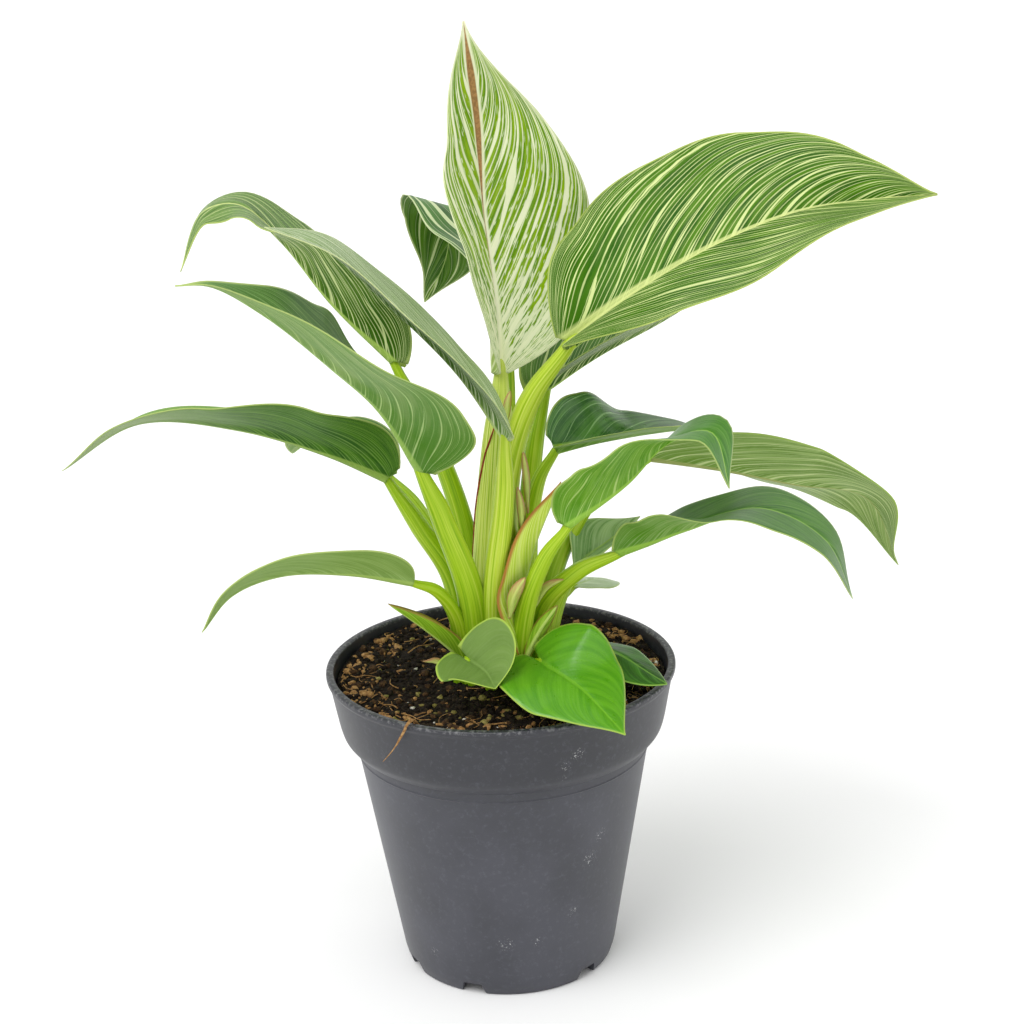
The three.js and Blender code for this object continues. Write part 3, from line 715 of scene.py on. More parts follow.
STRIPED_UNDER = Skin((54, 98, 6), (104, 142, 42), (210, 222, 158), (2.9, 0.2, 0.75),
                     (8.0, 0.1, 0.9), rib=(170, 200, 96), base=(46, 90, 2), gloss=0.12)
LEAFY_UNDER = Skin((92, 138, 36), (118, 160, 62), (166, 196, 112), (3.2, 0.12, 0.3),
                   (6.5, 0.07, 0.6), rib=(150, 190, 80))
YOUNG_UNDER = Skin((98, 144, 52), (120, 162, 70), (144, 180, 96), (2.6, 0.1, 0.2),
                   (7.0, 0.05, 0.3))

# The upper and the lower surface of each kind of leaf.
SKINS = {
    "cream": (
        Skin((94, 142, 0), (142, 180, 4), (246, 248, 214), (3.9, 0.27, 0.78), (10.0, 0.18, 0.97),
            rib=(238, 242, 204), rib_width=1.6, margin=(236, 240, 200), base=(246, 248, 216),
            gloss=0.08),
        Skin((128, 158, 60), (168, 190, 100), (226, 232, 188), (5.2, 0.3, 0.7), (17.0, 0.3, 0.9),
            rib=(220, 230, 176))),
    "striped": (
        Skin((36, 86, 0), (82, 132, 18), (214, 226, 158), rib=(206, 220, 134), rib_width=2.0,
            margin=(190, 206, 110), base=(70, 118, 14), gloss=0.3, rough=0.42),
        STRIPED_UNDER),
    "wide": (
        Skin((32, 82, 0), (76, 124, 4), (214, 226, 154), (2.9, 0.19, 0.7), (8.5, 0.1, 0.95),
            rib=(214, 224, 146), rib_width=2.6, margin=(190, 206, 110), base=(52, 104, 0),
            gloss=0.1, rough=0.42),
        STRIPED_UNDER),
    "pale": (
        Skin((66, 114, 40), (104, 146, 72), (172, 200, 130), (3.2, 0.1, 0.3), (9.0, 0.06, 0.7),
            gloss=0.4, rough=0.36),
        Skin((94, 134, 56), (124, 152, 82), (172, 198, 126), (3.0, 0.1, 0.25), (6.5, 0.08, 0.75),
            rib=(150, 184, 88), base=(60, 114, 6))),
    "bold": (
        Skin((30, 80, 8), (66, 118, 34), (214, 226, 176), (5.0, 0.12, 0.4), (15.0, 0.2, 0.85),
            rib=(206, 220, 134), margin=(220, 230, 180), gloss=0.3, rough=0.42),
        Skin((50, 96, 4), (92, 134, 38), (218, 228, 176), (5.2, 0.1, 0.3), (17.0, 0.12, 0.9),
            rib=(190, 212, 130), margin=(214, 224, 160), gloss=0.12)),
    # The grey-green mid tone is painted sheen, laid over the leaf's own dark green and pale
    # stripes.
    "striped_painted_sheen": (
        Skin((84, 124, 40), (134, 164, 98), (222, 230, 194), (2.6, 0.2, 0.7), (7.0, 0.1, 0.9),
            rib=(190, 210, 130), margin=(214, 222, 160), gloss=0.3, rough=0.42),
        Skin((70, 112, 26), (120, 154, 74), (222, 230, 194), (2.6, 0.22, 0.75), (7.0, 0.12, 0.9),
            rib=(190, 210, 130), margin=(214, 222, 160))),
    # Paler towards the tip: painted sheen, the white surroundings reflected on the blade.
    "fading": (LEAFY_UNDER,
        Skin((36, 84, 0), (70, 116, 18), (134, 170, 84), (2.2, 0.16, 0.55), (7.0, 0.05, 0.5),
            rib=(150, 180, 80), tip=(132, 156, 92), rough=0.48)),
    "greyish": (LEAFY_UNDER,
        Skin((110, 142, 60), (128, 158, 78), (158, 186, 112), (2.4, 0.14, 0.35), (7.0, 0.05, 0.4),
            rib=(154, 182, 90))),
    "dark": (
        Skin((32, 90, 10), (80, 132, 52), (150, 190, 126), (3.0, 0.08, 0.25), (8.0, 0.07, 0.8),
            rib=(150, 190, 90), gloss=0.5, rough=0.3),
        LEAFY_UNDER),
    "bright": (
        Skin((46, 108, 10), (74, 132, 32), (138, 180, 86), (2.4, 0.1, 0.3), (6.5, 0.06, 0.5),
            rib=(146, 188, 80), gloss=0.3, rough=0.36),
        Skin((82, 138, 22), (108, 156, 46), (176, 204, 118), (2.4, 0.12, 0.3), (6.0, 0.08, 0.75),
            rib=(150, 194, 72), rough=0.46)),
    "reddish": (LEAFY_UNDER,
        Skin((96, 132, 46), (140, 168, 90), (196, 212, 146), (3.0, 0.17, 0.5), (11.0, 0.1, 0.85),
            rib=(156, 164, 92), margin=(160, 192, 82), base=(104, 142, 40))),
    "green": (
        Skin((46, 98, 12), (72, 122, 30), (130, 168, 86), (2.8, 0.08, 0.2), (8.0, 0.05, 0.5),
            rib=(136, 178, 76), gloss=0.3, rough=0.36),
        Skin((92, 140, 32), (152, 178, 104), (178, 200, 134), (2.2, 0.12, 0.35), (8.0, 0.05, 0.3),
            rib=(144, 186, 68), base=(74, 128, 16))),
    # Painted light: paler, greyer colours than the green leaves', standing in for light and sheen
    # on a leaf that lies in shade.
    "painted_lit_grey": (
        Skin((110, 152, 82), (168, 196, 138), (196, 216, 168), (2.8, 0.12, 0.4), (8.0, 0.05, 0.4),
            rib=(170, 200, 110), gloss=0.4, rough=0.4),) * 2,
    "silver": (
        Skin((168, 194, 138), (206, 222, 186), (216, 230, 196), (2.8, 0.12, 0.4), (8.0, 0.05, 0.4),
            rib=(170, 200, 110), gloss=0.4, rough=0.4),) * 2,
    "young": (
        Skin((72, 140, 12), (92, 158, 24), (128, 184, 56), (3.4, 0.08, 0.06), (9.0, 0.04, 0.1),
            rib=(108, 170, 36), margin=(170, 196, 76), gloss=0.5, rough=0.3),
        YOUNG_UNDER),
    "matte": (
        Skin((74, 106, 34), (118, 148, 72), (160, 180, 122), (3.0, 0.08, 0.0), (8.0, 0.04, 0.0),
            rib=(120, 150, 74), margin=(186, 214, 86), even=True),
        YOUNG_UNDER),
    "shaded": (
        Skin((28, 70, 4), (58, 112, 22), (94, 142, 50), (3.0, 0.08, 0.2), (8.0, 0.04, 0.3),
            rib=(104, 152, 52), margin=(146, 188, 76), gloss=0.3, rough=0.36),
        YOUNG_UNDER),
    "sheath": (
        Skin((172, 200, 54), (198, 218, 84), (224, 234, 146), (4.5, 0.25, 0.5), (14.0, 0.1, 0.4),
            margin=(164, 44, 28), margin_width=1.6, rough=0.45),) * 2,
    "husk": (
        Skin((150, 180, 54), (178, 200, 84), (210, 222, 130), (4.0, 0.25, 0.3), (12.0, 0.1, 0.0),
            rib=(200, 212, 116), margin=(176, 120, 84), tip=(196, 170, 110), rough=0.55,
            even=True),) * 2,
    "stalk": (
        Skin((104, 152, 14), (138, 180, 36), (178, 206, 78), (4.0, 0.2, 0.4), (12.0, 0.1, 0.3),
            margin=(150, 108, 54), rough=0.45),) * 2,
}

# Leaves that look otherwise than the rest of their kind.
OWN_SKINS = {
    "leaf_02": "wide", "leaf_03": "bold", "leaf_05": "striped_painted_sheen", "leaf_07": "fading",
    "leaf_08": "greyish", "leaf_10": "dark", "leaf_11": "bright", "leaf_12": "reddish",
    "leaf_15": "painted_lit_grey", "leaf_16": "silver", "juvenile_leaf_1": "matte",
    "juvenile_leaf_3": "shaded",
}
TAN_DARK = (146, 96, 34)    # the line in the newest leaf's groove
TAN_LIGHT = (176, 124, 60)


def leaf_material(name, skin, newest=False):
    """A leaf surface: stripes that follow its side veins, a midrib, a margin and soft mottling.

    newest is the upper surface of the newest leaf, which is pale and flecked with green, and
    has a pale fringe and a tan line along the groove that it unrolled from.
    """
    look = Shader(name, skin.rough, skin.gloss)
    names = ("vein", "out", "across", "along", "edge", "seed")
    start, out, across, along_leaf, from_edge, seed = map(look.attribute, names)
    from_rib = abs(across)
    shift = seed + look.math("SIGN", across) * 31.0

    def streaks(width_mm, length_mm, offset, detail=1.0):
        """Noise drawn out along the side veins; the offset keeps two patterns apart."""
        place = look.vector(start / width_mm, out / length_mm, shift + offset)
        return look.noise(place, 1.0, detail)

    def stripes(spacing, share, strength, offset, wander, vary):
        """Paints stripes that follow the side veins, which wander, swell and fade."""
        place = start / spacing + streaks(3.5 * spacing, 90.0, offset) * wander
        away = abs(look.math("FRACT", place) - 0.5) * 2.0
        width = (streaks(1.4 * spacing, 26.0, offset + 7.0) - 0.5) * (vary * share) + share
        soft = 0.28 / spacing
        look.paint(skin.light, look.step(away - width, soft, -soft) * strength)

    shade = look.step(streaks(3.2, 30.0, 3.0, 2.0), 0.36, 0.64)
    if skin.even:
        shade = shade * 0.2 + 0.6
    grain = look.step(look.noise(look.place(), 0.9), 0.3, 0.7)
    look.paint(skin.dark)
    look.paint(skin.mid, shade)
    look.paint(skin.mid, grain * 0.2)
    look.paint(skin.light, look.step(streaks(0.55, 12.0, 5.0, 2.0), 0.45, 0.7) * 0.1)
    # Towards the tip: painted sheen on the leaves, the husks' own dry tips.
    if skin.tip:
        look.paint(skin.tip, look.step(along_leaf, 0.3, 0.85))
    if skin.base and not newest:
        look.paint(skin.base, look.step(along_leaf, 0.5, 0.05) * 0.7)
    stripes(*skin.lines, 11.0, 1.8, 3.0)
    stripes(*skin.bands, 19.0, 2.6, 5.0)
    if newest:
        near_base = look.step(along_leaf, 0.42, 0.02) * 0.22
        look.paint(skin.base, look.step(streaks(1.1, 6.0, 23.0, 1.5) + near_base, 0.6, 0.7) * 0.85)

    width = (1.0 - along_leaf) ** 2.2 * skin.rib_width + 0.28
    grooves = look.noise(look.vector(across * 2.2, along_leaf * 3.0, shift), 1.0, 1.0)
    ridges = look.step(grooves, 0.35, 0.65) * 0.25 + 0.7
    look.paint(skin.rib, look.step(from_rib / width, 1.35, 0.75) * ridges)
    if newest:
        swell = look.step(along_leaf, 0.42, 0.7) * look.step(along_leaf, 0.99, 0.82)
        past_groove = from_rib - (swell * 1.15 + 0.2)
        look.paint(skin.light, look.step(past_groove, 1.3, 0.5) * 0.9)
        line = look.step(past_groove, 0.16, -0.16) * look.step(along_leaf, 0.16, 0.4)
        tan = look.mix(look.step(grain, 0.2, 0.8), TAN_DARK, TAN_LIGHT)
        look.paint(tan, line * 0.9)
    on_margin = look.step(from_edge, skin.margin_width, 0.3 * skin.margin_width)
    look.paint(skin.margin, on_margin * 0.75)
    height = streaks(1.7, 30.0, 13.0, 2.0) + look.noise(look.place(), 1.6, 2.0) * 0.5
    uneven = look.noise(look.place(), 0.3) * 0.16 + (skin.rough - 0.08)
    return look.finish(height, 0.3, 0.3, roughness=uneven)


# Colours of a stalk's striations and its painted-shade foot, and how strong its green pin lines
# are.
STALK_SKINS = {
    "petiole": ((122, 166, 4), (158, 194, 24), (190, 212, 70), (98, 150, 0), 0.3),
    "yellow_petiole": ((140, 178, 6), (184, 208, 52), (212, 226, 104), (112, 160, 0), 0.4),
    "pale_petiole": ((124, 168, 0), (202, 218, 84), (230, 238, 150), (176, 198, 50), 0.6),
}
OWN_STALKS = {"leaf_01": "pale_petiole", "leaf_02": "yellow_petiole",
              "leaf_05": "yellow_petiole"}
WING_COLOUR = (150, 176, 66)


def stalk_material(name, dark, mid, light, foot, pin_share):
    """A lime stalk: fine lengthwise striations, green pin lines, and a foot darkened as painted
    shade.
    """
    look = Shader(name, 0.4, 0.25)
    around, lengthwise, along_stalk, wing, seed = map(
        look.attribute, ("around", "lengthwise", "along", "wing", "seed"))
    lengthwise = lengthwise / 60.0
    lines = look.noise(look.vector(around * 1.3, lengthwise, seed), 1.0, 4.0, 0.6)
    pins = look.noise(look.vector(around * 3.6, lengthwise, seed), 1.0, 2.0)
    look.paint(look.ramp(lines, [(0.34, dark), (0.48, mid), (0.66, light)]))
    # Painted shade: darker towards the foot, where the stalks stand under the leaves.
    look.paint(foot, look.step(along_stalk, 0.62, 0.02) * 0.75)
    look.paint(dark, look.step(pins, 0.56, 0.66) * pin_share)
    look.paint(WING_COLOUR, wing * 0.55)
    return look.finish(lines, 0.35, 0.3)


# Dusty scuffs on the pot: degrees round its axis, height and size in millimetres.
SCUFFS = [(-65, 97, 2.6), (-69, 93, 2.2), (-70, 88, 2.8), (-47, 59, 2.6), (-52, 51, 3.4),
          (-59, 31, 2.4), (-77, 22, 2.0), (-92, 22, 3.0), (-132, 14, 2.2), (140, 60, 4.0)]
SLATE_DARK = (51, 52, 60)
SLATE_LIGHT = (62, 63, 72)
COLLAR_COLOUR = (28, 29, 36)
MOTTLE_COLOUR = (120, 124, 136)
DUST_COLOUR = (196, 196, 196)


def pot_material():
    """Satin slate plastic with a fine grain, dusty scuffs, a worn edge and a darker collar."""
    look = Shader("pot_plastic", 0.42, 0.6)
    place = look.place()
    height = look.node("SeparateXYZ", {0: place})["Z"]
    grain = look.noise(place, 1.1)
    cloud = look.noise(place, 0.035)
    mottle = look.noise(place, 0.5, 5.0, 0.75)
    look.paint(SLATE_DARK)
    look.paint(SLATE_LIGHT, look.step(cloud, 0.35, 0.65))
    look.paint(COLLAR_COLOUR, look.step(height, COLLAR_BOTTOM - 6, COLLAR_BOTTOM + 8) * 0.8)
    look.paint(MOTTLE_COLOUR, look.step(mottle, 0.5, 0.75) * 0.16)
    scuffed = 0.0
    for degrees, high, size in SCUFFS:
        turn = math.radians(degrees)
        wide = RIM_RADIUS - 2
        if high <= COLLAR_BOTTOM:
            wide = FOOT_RADIUS + (SHOULDER_RADIUS - FOOT_RADIUS) * high / COLLAR_BOTTOM
        middle = look.vector(wide * math.cos(turn), wide * math.sin(turn), high)
        away = look.node("VectorMath", {0: place, 1: middle}, operation="DISTANCE")
        near = look.step(away["Value"], size * 1.3, size * 0.3)
        scuffed = look.math("MAXIMUM", near, scuffed)
    flecks = look.step(look.noise(place, 1.3, 5.0, 0.75), 0.57, 0.64)
    worn = look.step(height, POT_HEIGHT - 1.5, POT_HEIGHT - 0.6)
    worn = worn * look.step(look.noise(place, 0.7, 4.0, 0.7), 0.48, 0.62)
    look.paint(DUST_COLOUR, look.math("MAXIMUM", flecks * scuffed, worn * 0.2))
    return look.finish(grain, 0.12, 0.15, roughness=cloud * 0.16 + 0.34)


# Grainy surfaces: how rough, and their colours from dark to light.
EARTHS = [
    ("earth", 0.95, (10, 6, 4), (24, 18, 13), (40, 31, 22), (70, 58, 40)),
    ("bark_bits", 0.95, (30, 20, 12), (66, 46, 28), (110, 84, 52)),
    ("coir", 0.8, (120, 84, 44), (166, 124, 76), (200, 164, 110)),
    ("algae_grains", 0.8, (84, 76, 34), (136, 124, 66), (170, 158, 96)),
    ("perlite", 0.8, (170, 164, 150), (214, 208, 196), (236, 232, 224)),
    ("sheath_edge", 0.5, (96, 30, 20), (150, 54, 36), (186, 96, 60)),
]


def earth_material(name, roughness, *colours):
    """Colours spread evenly over a coarse noise, on a lumpy surface."""
    look = Shader(name, roughness, 0.2)
    place = look.place()
    cells = look.noise(place, 0.9, 5.0, 0.65)
    stops = [(0.3 + 0.4 * k / (len(colours) - 1), colour) for k, colour in enumerate(colours)]
    look.paint(look.ramp(cells, stops))
    return look.finish(look.noise(place, 2.2, 4.0, 0.7), 0.8, 0.5)


# ---- pot ----

POT_SIDES = 192
FOOT_HEIGHT = 4          # where the wall begins
RING_HEIGHT = 79.6       # a faint moulding ring under the collar
RING_RELIEF = 0.35
CORNER_STEPS = 5


def level_rings(profile, sides):
    """Circles of points round the Z axis, one for each radius and height of a profile."""
    turn = turns(sides)
    radius, height = np.array(profile, float).T[..., None]
    return np.stack([radius * np.cos(turn), radius * np.sin(turn), height + 0 * turn], axis=-1)


def rounded(corners):
    """A profile through corners, each a radius, a height and how far its rounding reaches."""
    places = np.array(corners, float)[:, :2]
    made = [places[0]]
    for before, corner, after, (*_, reach) in zip(places, places[1:], places[2:], corners[1:]):
        back = before - corner
        ahead = after - corner
        start = corner + unit(back) * min(reach, 0.45 * np.linalg.norm(back))
        end = corner + unit(ahead) * min(reach, 0.45 * np.linalg.norm(ahead))
        for s in np.linspace(0, 1, CORNER_STEPS + 1):
            made.append((1 - s) ** 2 * start + 2 * s * (1 - s) * corner + s ** 2 * end)
    return [*made, places[-1]]


def carve(thing, cutters):
    """Cuts the notches out of the pot and takes the cutters away."""
    for cutter in cutters:
        notch = thing.modifiers.new("notch", "BOOLEAN")
        notch.operation = "DIFFERENCE"
        notch.solver = "EXACT"
        notch.object = cutter
    bpy.context.view_layer.update()
    seen = thing.evaluated_get(bpy.context.evaluated_depsgraph_get())
    carved = bpy.data.meshes.new_from_object(seen)
    thing.modifiers.clear()
    thing.data = carved
    carved.polygons.foreach_set("use_smooth", np.ones(len(carved.polygons), bool))
    carved.set_sharp_from_angle(angle=math.radians(32))
    for cutter in cutters:
        bpy.data.objects.remove(cutter)


def pot(material):
    """The pot with rounded corners, a collar, a faint moulding ring and its notches."""
    floor_top = POT_FLOOR + FLOOR_THICKNESS
    slope = (SHOULDER_RADIUS - FOOT_RADIUS) / (COLLAR_BOTTOM - FOOT_HEIGHT)

    def wall(z, out=0.0):
        return FOOT_RADIUS + slope * (z - FOOT_HEIGHT) + out, z, 0.2

    profile = rounded([
        (0, POT_FLOOR, 0), (FOOT_RADIUS - 5, POT_FLOOR, 0.5), (FOOT_RADIUS - 4, 0, 0.4),
        (FOOT_RADIUS - 1.4, 0, 0.8), (FOOT_RADIUS, FOOT_HEIGHT, 2.0), wall(RING_HEIGHT - 0.4),
        wall(RING_HEIGHT, RING_RELIEF), wall(RING_HEIGHT + 0.5),
        (SHOULDER_RADIUS, COLLAR_BOTTOM, 0.3), (SHOULDER_RADIUS + 2, COLLAR_BOTTOM + 1, 0.3),
        (SHOULDER_RADIUS + 4.4, COLLAR_BOTTOM + 4, 1.2),
        (SHOULDER_RADIUS + 5.4, COLLAR_BOTTOM + 7.5, 2.5),
        (RIM_RADIUS - 1, POT_HEIGHT - 3, 0.5), (RIM_RADIUS, POT_HEIGHT - 1.9, 0.6),
        (RIM_RADIUS, POT_HEIGHT, 0.9), (RIM_RADIUS - LIP_WIDTH, POT_HEIGHT, 0.9),
        (COLLAR_BORE, COLLAR_BOTTOM + 6, 1), (SHOULDER_RADIUS - WALL, COLLAR_BOTTOM - 1, 1),
        (FOOT_RADIUS - WALL, floor_top, 1), (0, floor_top, 0),
    ])
    tube = level_rings(profile[1:-1], POT_SIDES)
    points = np.vstack([tube.reshape(-1, 3), [0, 0, POT_FLOOR], [0, 0, floor_top]])
    made = mesh_object("nursery_pot", points, tube_faces(len(tube) - 1, POT_SIDES), [material])

    head = NOTCH_WIDTH / 2
    foot = head + 1.5
    shape = [(-foot, -1), (foot, -1), (head, NOTCH_HEIGHT), (-head, NOTCH_HEIGHT)]
    block = [(x, y - FOOT_RADIUS, z) for y in (-3, 9) for x, z in shape]
    quads = [(0, 1, 2, 3), (7, 6, 5, 4), (0, 4, 5, 1), (1, 5, 6, 2), (2, 6, 7, 3), (3, 7, 4, 0)]
    cutters = []
    for degrees in NOTCH_ANGLES:
        spin = np.array(Matrix.Rotation(math.radians(degrees), 3, "Z"))
        cutters.append(mesh_object(f"cutter_{degrees}", np.array(block) @ spin.T, quads, []))
    carve(made, cutters)
    return made


# ---- soil ----

SOIL_RINGS = 90
SOIL_SIDES = 300
SOIL_GAP = 0.35          # between the soil and the pot's inside
BUMP_WAVES = 40


def bumps(x, y, seed, size):
    """Smooth seeded unevenness, about -1 to 1, of a plane; size is the width of the bumps."""
    random = np.random.default_rng(seed)
    total = 0
    for _ in range(BUMP_WAVES):
        angle = random.uniform(0, 2 * math.pi)
        wave = 2 * math.pi / (size * random.uniform(0.7, 1.8))
        place = x * math.cos(angle) + y * math.sin(angle)
        total = total + np.sin(wave * place + random.uniform(0, 7))
    return total / math.sqrt(BUMP_WAVES)


def soil_height(x, y):
    """The top of the soil: it rises to the stem, is heaped at the back, and is uneven."""
    share = np.clip(np.hypot(x, y) / SOIL_RADIUS, 0, 1)
    heap = smooth(y, 0, 55)
    rough = 0.55 * bumps(x, y, 1, 22) + 0.35 * bumps(x, y, 2, 8) + 0.2 * bumps(x, y, 3, 3)
    return SOIL_LEVEL + SOIL_MOUND * (1 - share) ** 1.2 + heap + rough * (1 - 0.4 * share)


def soil(material):
    """The potting mix: an uneven top over rings that follow the inside of the pot."""
    foot = POT_FLOOR + FLOOR_THICKNESS + SOIL_GAP
    top = [(radius, 0) for radius in np.linspace(0, SOIL_RADIUS, SOIL_RINGS + 1)[1:]]
    tube = level_rings([*top, (COLLAR_BORE - SOIL_GAP, COLLAR_BOTTOM + 6),
                        (SHOULDER_RADIUS - WALL - SOIL_GAP, COLLAR_BOTTOM - 1),
                        (FOOT_RADIUS - WALL - SOIL_GAP, foot)], SOIL_SIDES)
    x, y, height = np.moveaxis(tube[:SOIL_RINGS], -1, 0)
    height[:] = soil_height(x, y)
    points = np.vstack([tube.reshape(-1, 3), [0, 0, soil_height(0.0, 0.0)], [0, 0, foot]])
    faces = tube_faces(len(tube) - 1, SOIL_SIDES, flip=True)
    return mesh_object("potting_mix", points, faces, [material])


def plain_icosahedron():
    """The twelve corners, as unit vectors, and the faces, which all face outwards."""
    golden = (1 + 5 ** 0.5) / 2
    corners = []
    for a in (-1, 1):
        for b in (-golden, golden):
            corners += [(0, a, b), (a, b, 0), (b, 0, a)]
    corners = unit(np.array(corners, float))
    faces = []
    for i, j, k in combinations(range(12), 3):
        if min(corners[i] @ corners[j], corners[j] @ corners[k], corners[i] @ corners[k]) > 0.4:
            normal = np.cross(corners[j] - corners[i], corners[k] - corners[i])
            faces.append((i, j, k) if normal @ corners[i] > 0 else (i, k, j))
    return corners, faces


def scattered(random, count, limit, inner, where):
    """Seeded places on the soil, one at a time; where says how likely a place is to be taken.

    limit is the furthest from the middle, and inner, from 0 to 1, keeps the middle free.
    """
    for _ in range(count):
        taken = False
        while not taken:
            angle = random.uniform(0, 2 * math.pi)
            radius = limit * math.sqrt(random.uniform(inner, 1))
            x = radius * math.cos(angle)
            y = radius * math.sin(angle)
            taken = random.uniform() <= where(x, y)
        yield x, y


# How likely a grain is to lie at a place.

def near_edge(x, y):
    return 0.15 + 0.85 * smooth(np.hypot(x, y), 36, 52)


def anywhere(x, y):
    return 1.0


def in_front(x, y):
    return 0.1 + 0.9 * smooth(-y, 5, 40)


# Surface, seed, count, smallest and largest size of each kind of grain, and where it lies.
GRAINS = {
    "soil_crumbs": ("earth", 11, 2600, 0.5, 1.7, anywhere),
    "bark_bits": ("bark_bits", 12, 420, 0.6, 1.9, anywhere),
    "coir_bits": ("coir", 13, 420, 0.5, 1.8, near_edge),
    "algae_grains": ("algae_grains", 14, 110, 0.5, 1.5, in_front),
    "perlite_grains": ("perlite", 15, 36, 0.5, 1.2, anywhere),
}
GRAIN_HEIGHT = 0.7       # of a grain, as a share of its size
GRAIN_LIFT = 0.25        # of its middle above the soil, as a share of its height


def grains(name, material, seed, count, smallest, largest, where):
    """Many small rough grains lying on the soil, as one piece."""
    random = np.random.default_rng(seed)
    corners, hull = plain_icosahedron()
    points = []
    faces = []
    for x, y in scattered(random, count, SOIL_RADIUS - 1, 0.02, where):
        size = smallest + (largest - smallest) * random.uniform() ** 2.5
        body = corners * random.uniform(0.7, 1.3, (12, 1)) * size
        body = body * np.array([random.uniform(0.8, 1.5), random.uniform(0.7, 1.1), GRAIN_HEIGHT])
        spin = np.array(Matrix.Rotation(random.uniform(0, 2 * math.pi), 3, "Z"))
        tilt = np.array(Matrix.Rotation(random.uniform(-0.5, 0.5), 3, "X"))
        place = [x, y, soil_height(x, y) + size * GRAIN_HEIGHT * GRAIN_LIFT]
        faces += [tuple(12 * len(points) + k for k in face) for face in hull]
        points.append(body @ (spin @ tilt).T + place)
    return mesh_object(name, np.vstack(points), faces, [material])


def fibres(name, material, seed, count, length, radius, where):
    """Coir fibres and bits of root lying on the soil, as one piece."""
    random = np.random.default_rng(seed)
    points = []
    faces = []
    total = 0
    for x, y in scattered(random, count, SOIL_RADIUS - 3, 0.05, where):
        way = random.uniform(0, 2 * math.pi)
        reach = random.uniform(*length)
        route = []
        for _ in range(4):
            route.append((x, y, soil_height(x, y) + random.uniform(0.0, 1.2)))
            way += random.uniform(-0.8, 0.8)
            x += reach / 3 * math.cos(way)
            y += reach / 3 * math.sin(way)
            inside = min((SOIL_RADIUS - 1.5) / max(math.hypot(x, y), 1), 1)
            x *= inside
            y *= inside
        thick = random.uniform(*radius)
        more, skin = strand(Curve(route), lambda s: thick * (1 - 0.5 * s), 8, 5, total)
        points.append(more)
        faces += skin
        total += len(more)
    return mesh_object(name, np.vstack(points), faces, [material])


# A dried rootlet that hangs over the rim, and the fine fibre it ends in.
ROOTLET = [(-26.5, -46.0, 105.4), (-28.6, -50.6, 110.2), (-30.3, -53.2, 109.8),
           (-31.4, -52.4, 107.2), (-32.9, -51.5, 104.3), (-34.2, -50.5, 101.6)]
ROOT_HAIR = [(-33.6, -50.9, 102.8), (-34.6, -50.3, 101.0), (-36.2, -49.1, 98.4),
             (-39.1, -46.8, 94.2)]


def rootlet(name, places, material, thick, thin):
    """A root from thick at its start to thin at its end, both radii."""
    shape = strand(Curve(places), lambda s: thin + (thick - thin) * (1 - s) ** 0.7, 50, 8)
    return mesh_object(name, *shape, [material])


# ---- floor, light and camera ----

CAMERA_PLACE = (5.6, -700.0, 395.0)     # millimetres
CAMERA_PITCH = 18.35                    # degrees below the horizon
CAMERA_ROLL = 1.9                       # degrees; the plant's top leans to the left
PHOTO_SIZE = 1024
FOCAL_PIXELS = 2195                     # focal length as pixels of the photograph
SENSOR = 36.0
FLOOR_HALF = 9000
FLOOR_LEVEL = -0.05                     # just under the pot
FLOOR_COLOUR = (250, 250, 250)
WORLD_STRENGTH = 0.92
SUN_STRENGTH = 1.45
SUN_SPREAD = 40                         # degrees
SUN_DIRECTION = (-0.45, -0.55, 1.0)     # from the plant to the light


def floor():
    corners = [(x * FLOOR_HALF, y * FLOOR_HALF, FLOOR_LEVEL)
               for x, y in ((-1, -1), (1, -1), (1, 1), (-1, 1))]
    look = Shader("floor", 0.9, 0.1)
    look.paint(FLOOR_COLOUR)
    mesh_object("floor", corners, [(0, 1, 2, 3)], [look.finish()])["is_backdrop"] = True


def studio():
    """White light from all round and one soft sun."""
    world = bpy.data.worlds.new("studio")
    world.use_nodes = True
    background = world.node_tree.nodes["Background"].inputs
    background["Color"].default_value = (1, 1, 1, 1)
    background["Strength"].default_value = WORLD_STRENGTH
    bpy.context.scene.world = world
    bpy.context.scene.view_settings.view_transform = "Standard"
    light = bpy.data.lights.new("key", "SUN")
    light.energy = SUN_STRENGTH
    light.angle = math.radians(SUN_SPREAD)
    lamp = bpy.data.objects.new("key", light)
    lamp.rotation_euler = Vector(SUN_DIRECTION).to_track_quat("Z", "Y").to_euler()
    bpy.context.scene.collection.objects.link(lamp)


def camera():
    """The photograph's camera, over the front edge of the pot."""
    lens = bpy.data.cameras.new("camera")
    lens.sensor_width = SENSOR
    lens.lens = FOCAL_PIXELS * SENSOR / PHOTO_SIZE
    lens.clip_start = 0.01
    made = bpy.data.objects.new("camera", lens)
    bpy.context.scene.collection.objects.link(made)
    pitch = Matrix.Rotation(math.radians(90 - CAMERA_PITCH), 4, "X")
    roll = Matrix.Rotation(math.radians(-CAMERA_ROLL), 4, "Z")
    made.matrix_world = Matrix.Translation(Vector(CAMERA_PLACE) * MM) @ pitch @ roll
    bpy.context.scene.camera = made


# ---- assembly ----

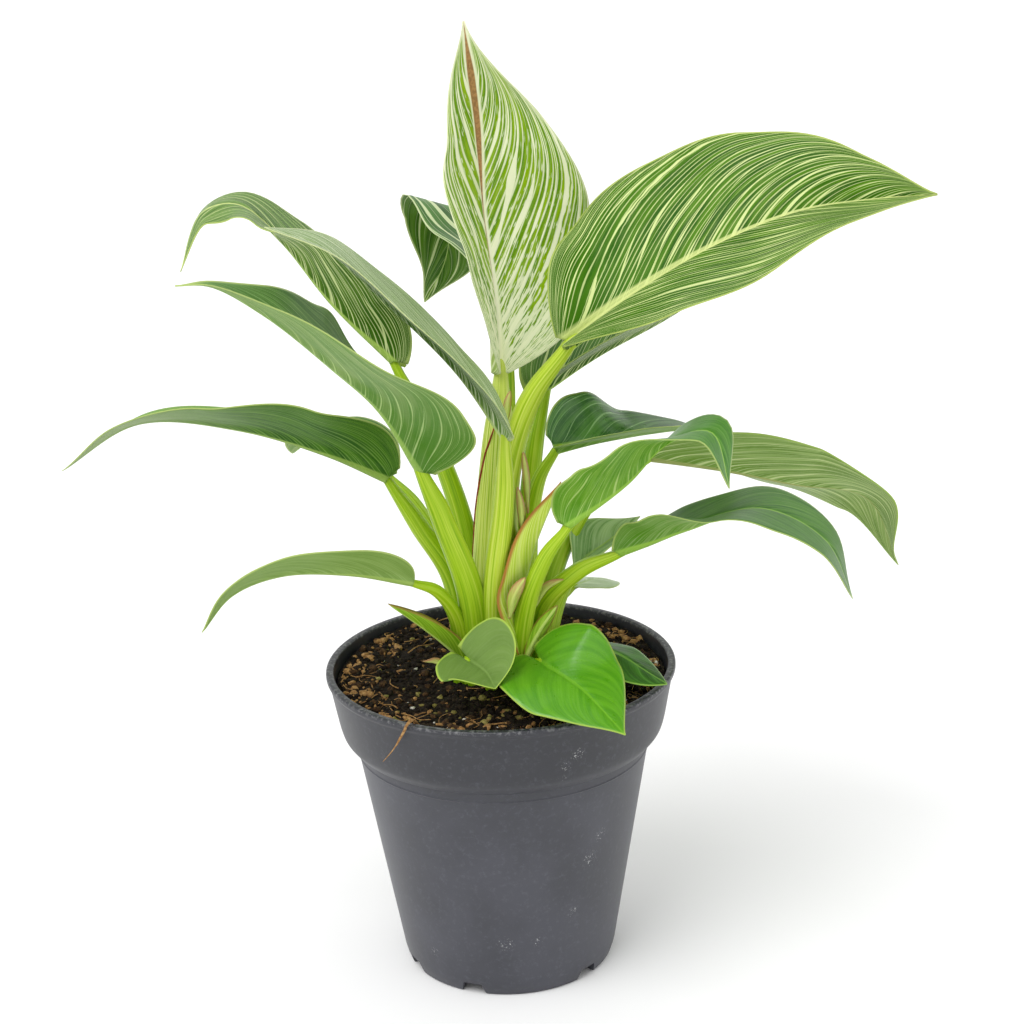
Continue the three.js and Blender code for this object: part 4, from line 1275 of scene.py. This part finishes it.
FIRST_SHEATH = 40        # numbers that set the sheaths' and husks' patterns apart
FIRST_HUSK = 50
BLADE_SLOTS = {"cream": "cream_blade", "striped": "striped_blade", "pale": "pale_blade",
               "green": "green_blade", "young": "young_blade"}

surfaces = {}
for kind, skins in SKINS.items():
    surfaces[kind] = [leaf_material(f"{kind}_{face}", skin, (kind, face) == ("cream", "upper"))
                      for face, skin in zip(("upper", "under"), skins)]
petioles = {name: stalk_material(name, *skin) for name, skin in STALK_SKINS.items()}
earths = {name: earth_material(name, *colours) for name, *colours in EARTHS}

for number, leaf in enumerate(LEAVES):
    kind = OWN_SKINS.get(leaf.name, leaf.tone)
    piece(blade(leaf, number, surfaces[kind]), BLADE_SLOTS[leaf.tone], f"{leaf.name}_blade")
    petiole = petioles[OWN_STALKS.get(leaf.name, "petiole")]
    piece(stalk(leaf, number, petiole), "stalk", f"{leaf.name}_stalk")
for number, sheath in enumerate(SHEATHS, FIRST_SHEATH):
    slot = "scale_leaf" if sheath.tone == "sheath" else "stalk"
    piece(blade(sheath, number, surfaces[sheath.tone]), slot, sheath.name)
for number, husk in enumerate(HUSKS, FIRST_HUSK):
    piece(blade(husk, number, surfaces[husk.tone]), "scale_leaf")
piece(sheath_edge(LEAVES[0], earths["sheath_edge"]), "scale_leaf")

piece(pot(pot_material()), "pot", "pot")
piece(soil(earths["earth"]), "soil", "soil")
coir = earths["coir"]
for name, (kind, *settings) in GRAINS.items():
    piece(grains(name, earths[kind], *settings), "soil")
piece(fibres("coir_fibres", coir, seed=16, count=130, length=(4, 14), radius=(0.12, 0.32),
             where=near_edge), "soil")
piece(rootlet("dried_rootlet", ROOTLET, coir, thick=0.62, thin=0.3), "soil")
piece(rootlet("root_hair", ROOT_HAIR, coir, thick=0.22, thin=0.08), "soil")

stem_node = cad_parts["stem"]
stem_node.data.materials.clear()
stem_node.data.materials.append(petioles["petiole"])

floor()
studio()
camera()

boxes = [cad_box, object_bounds()]
({name: [list(corner) for corner in box]
           for name, box in zip(("cad", "visual"), boxes)})
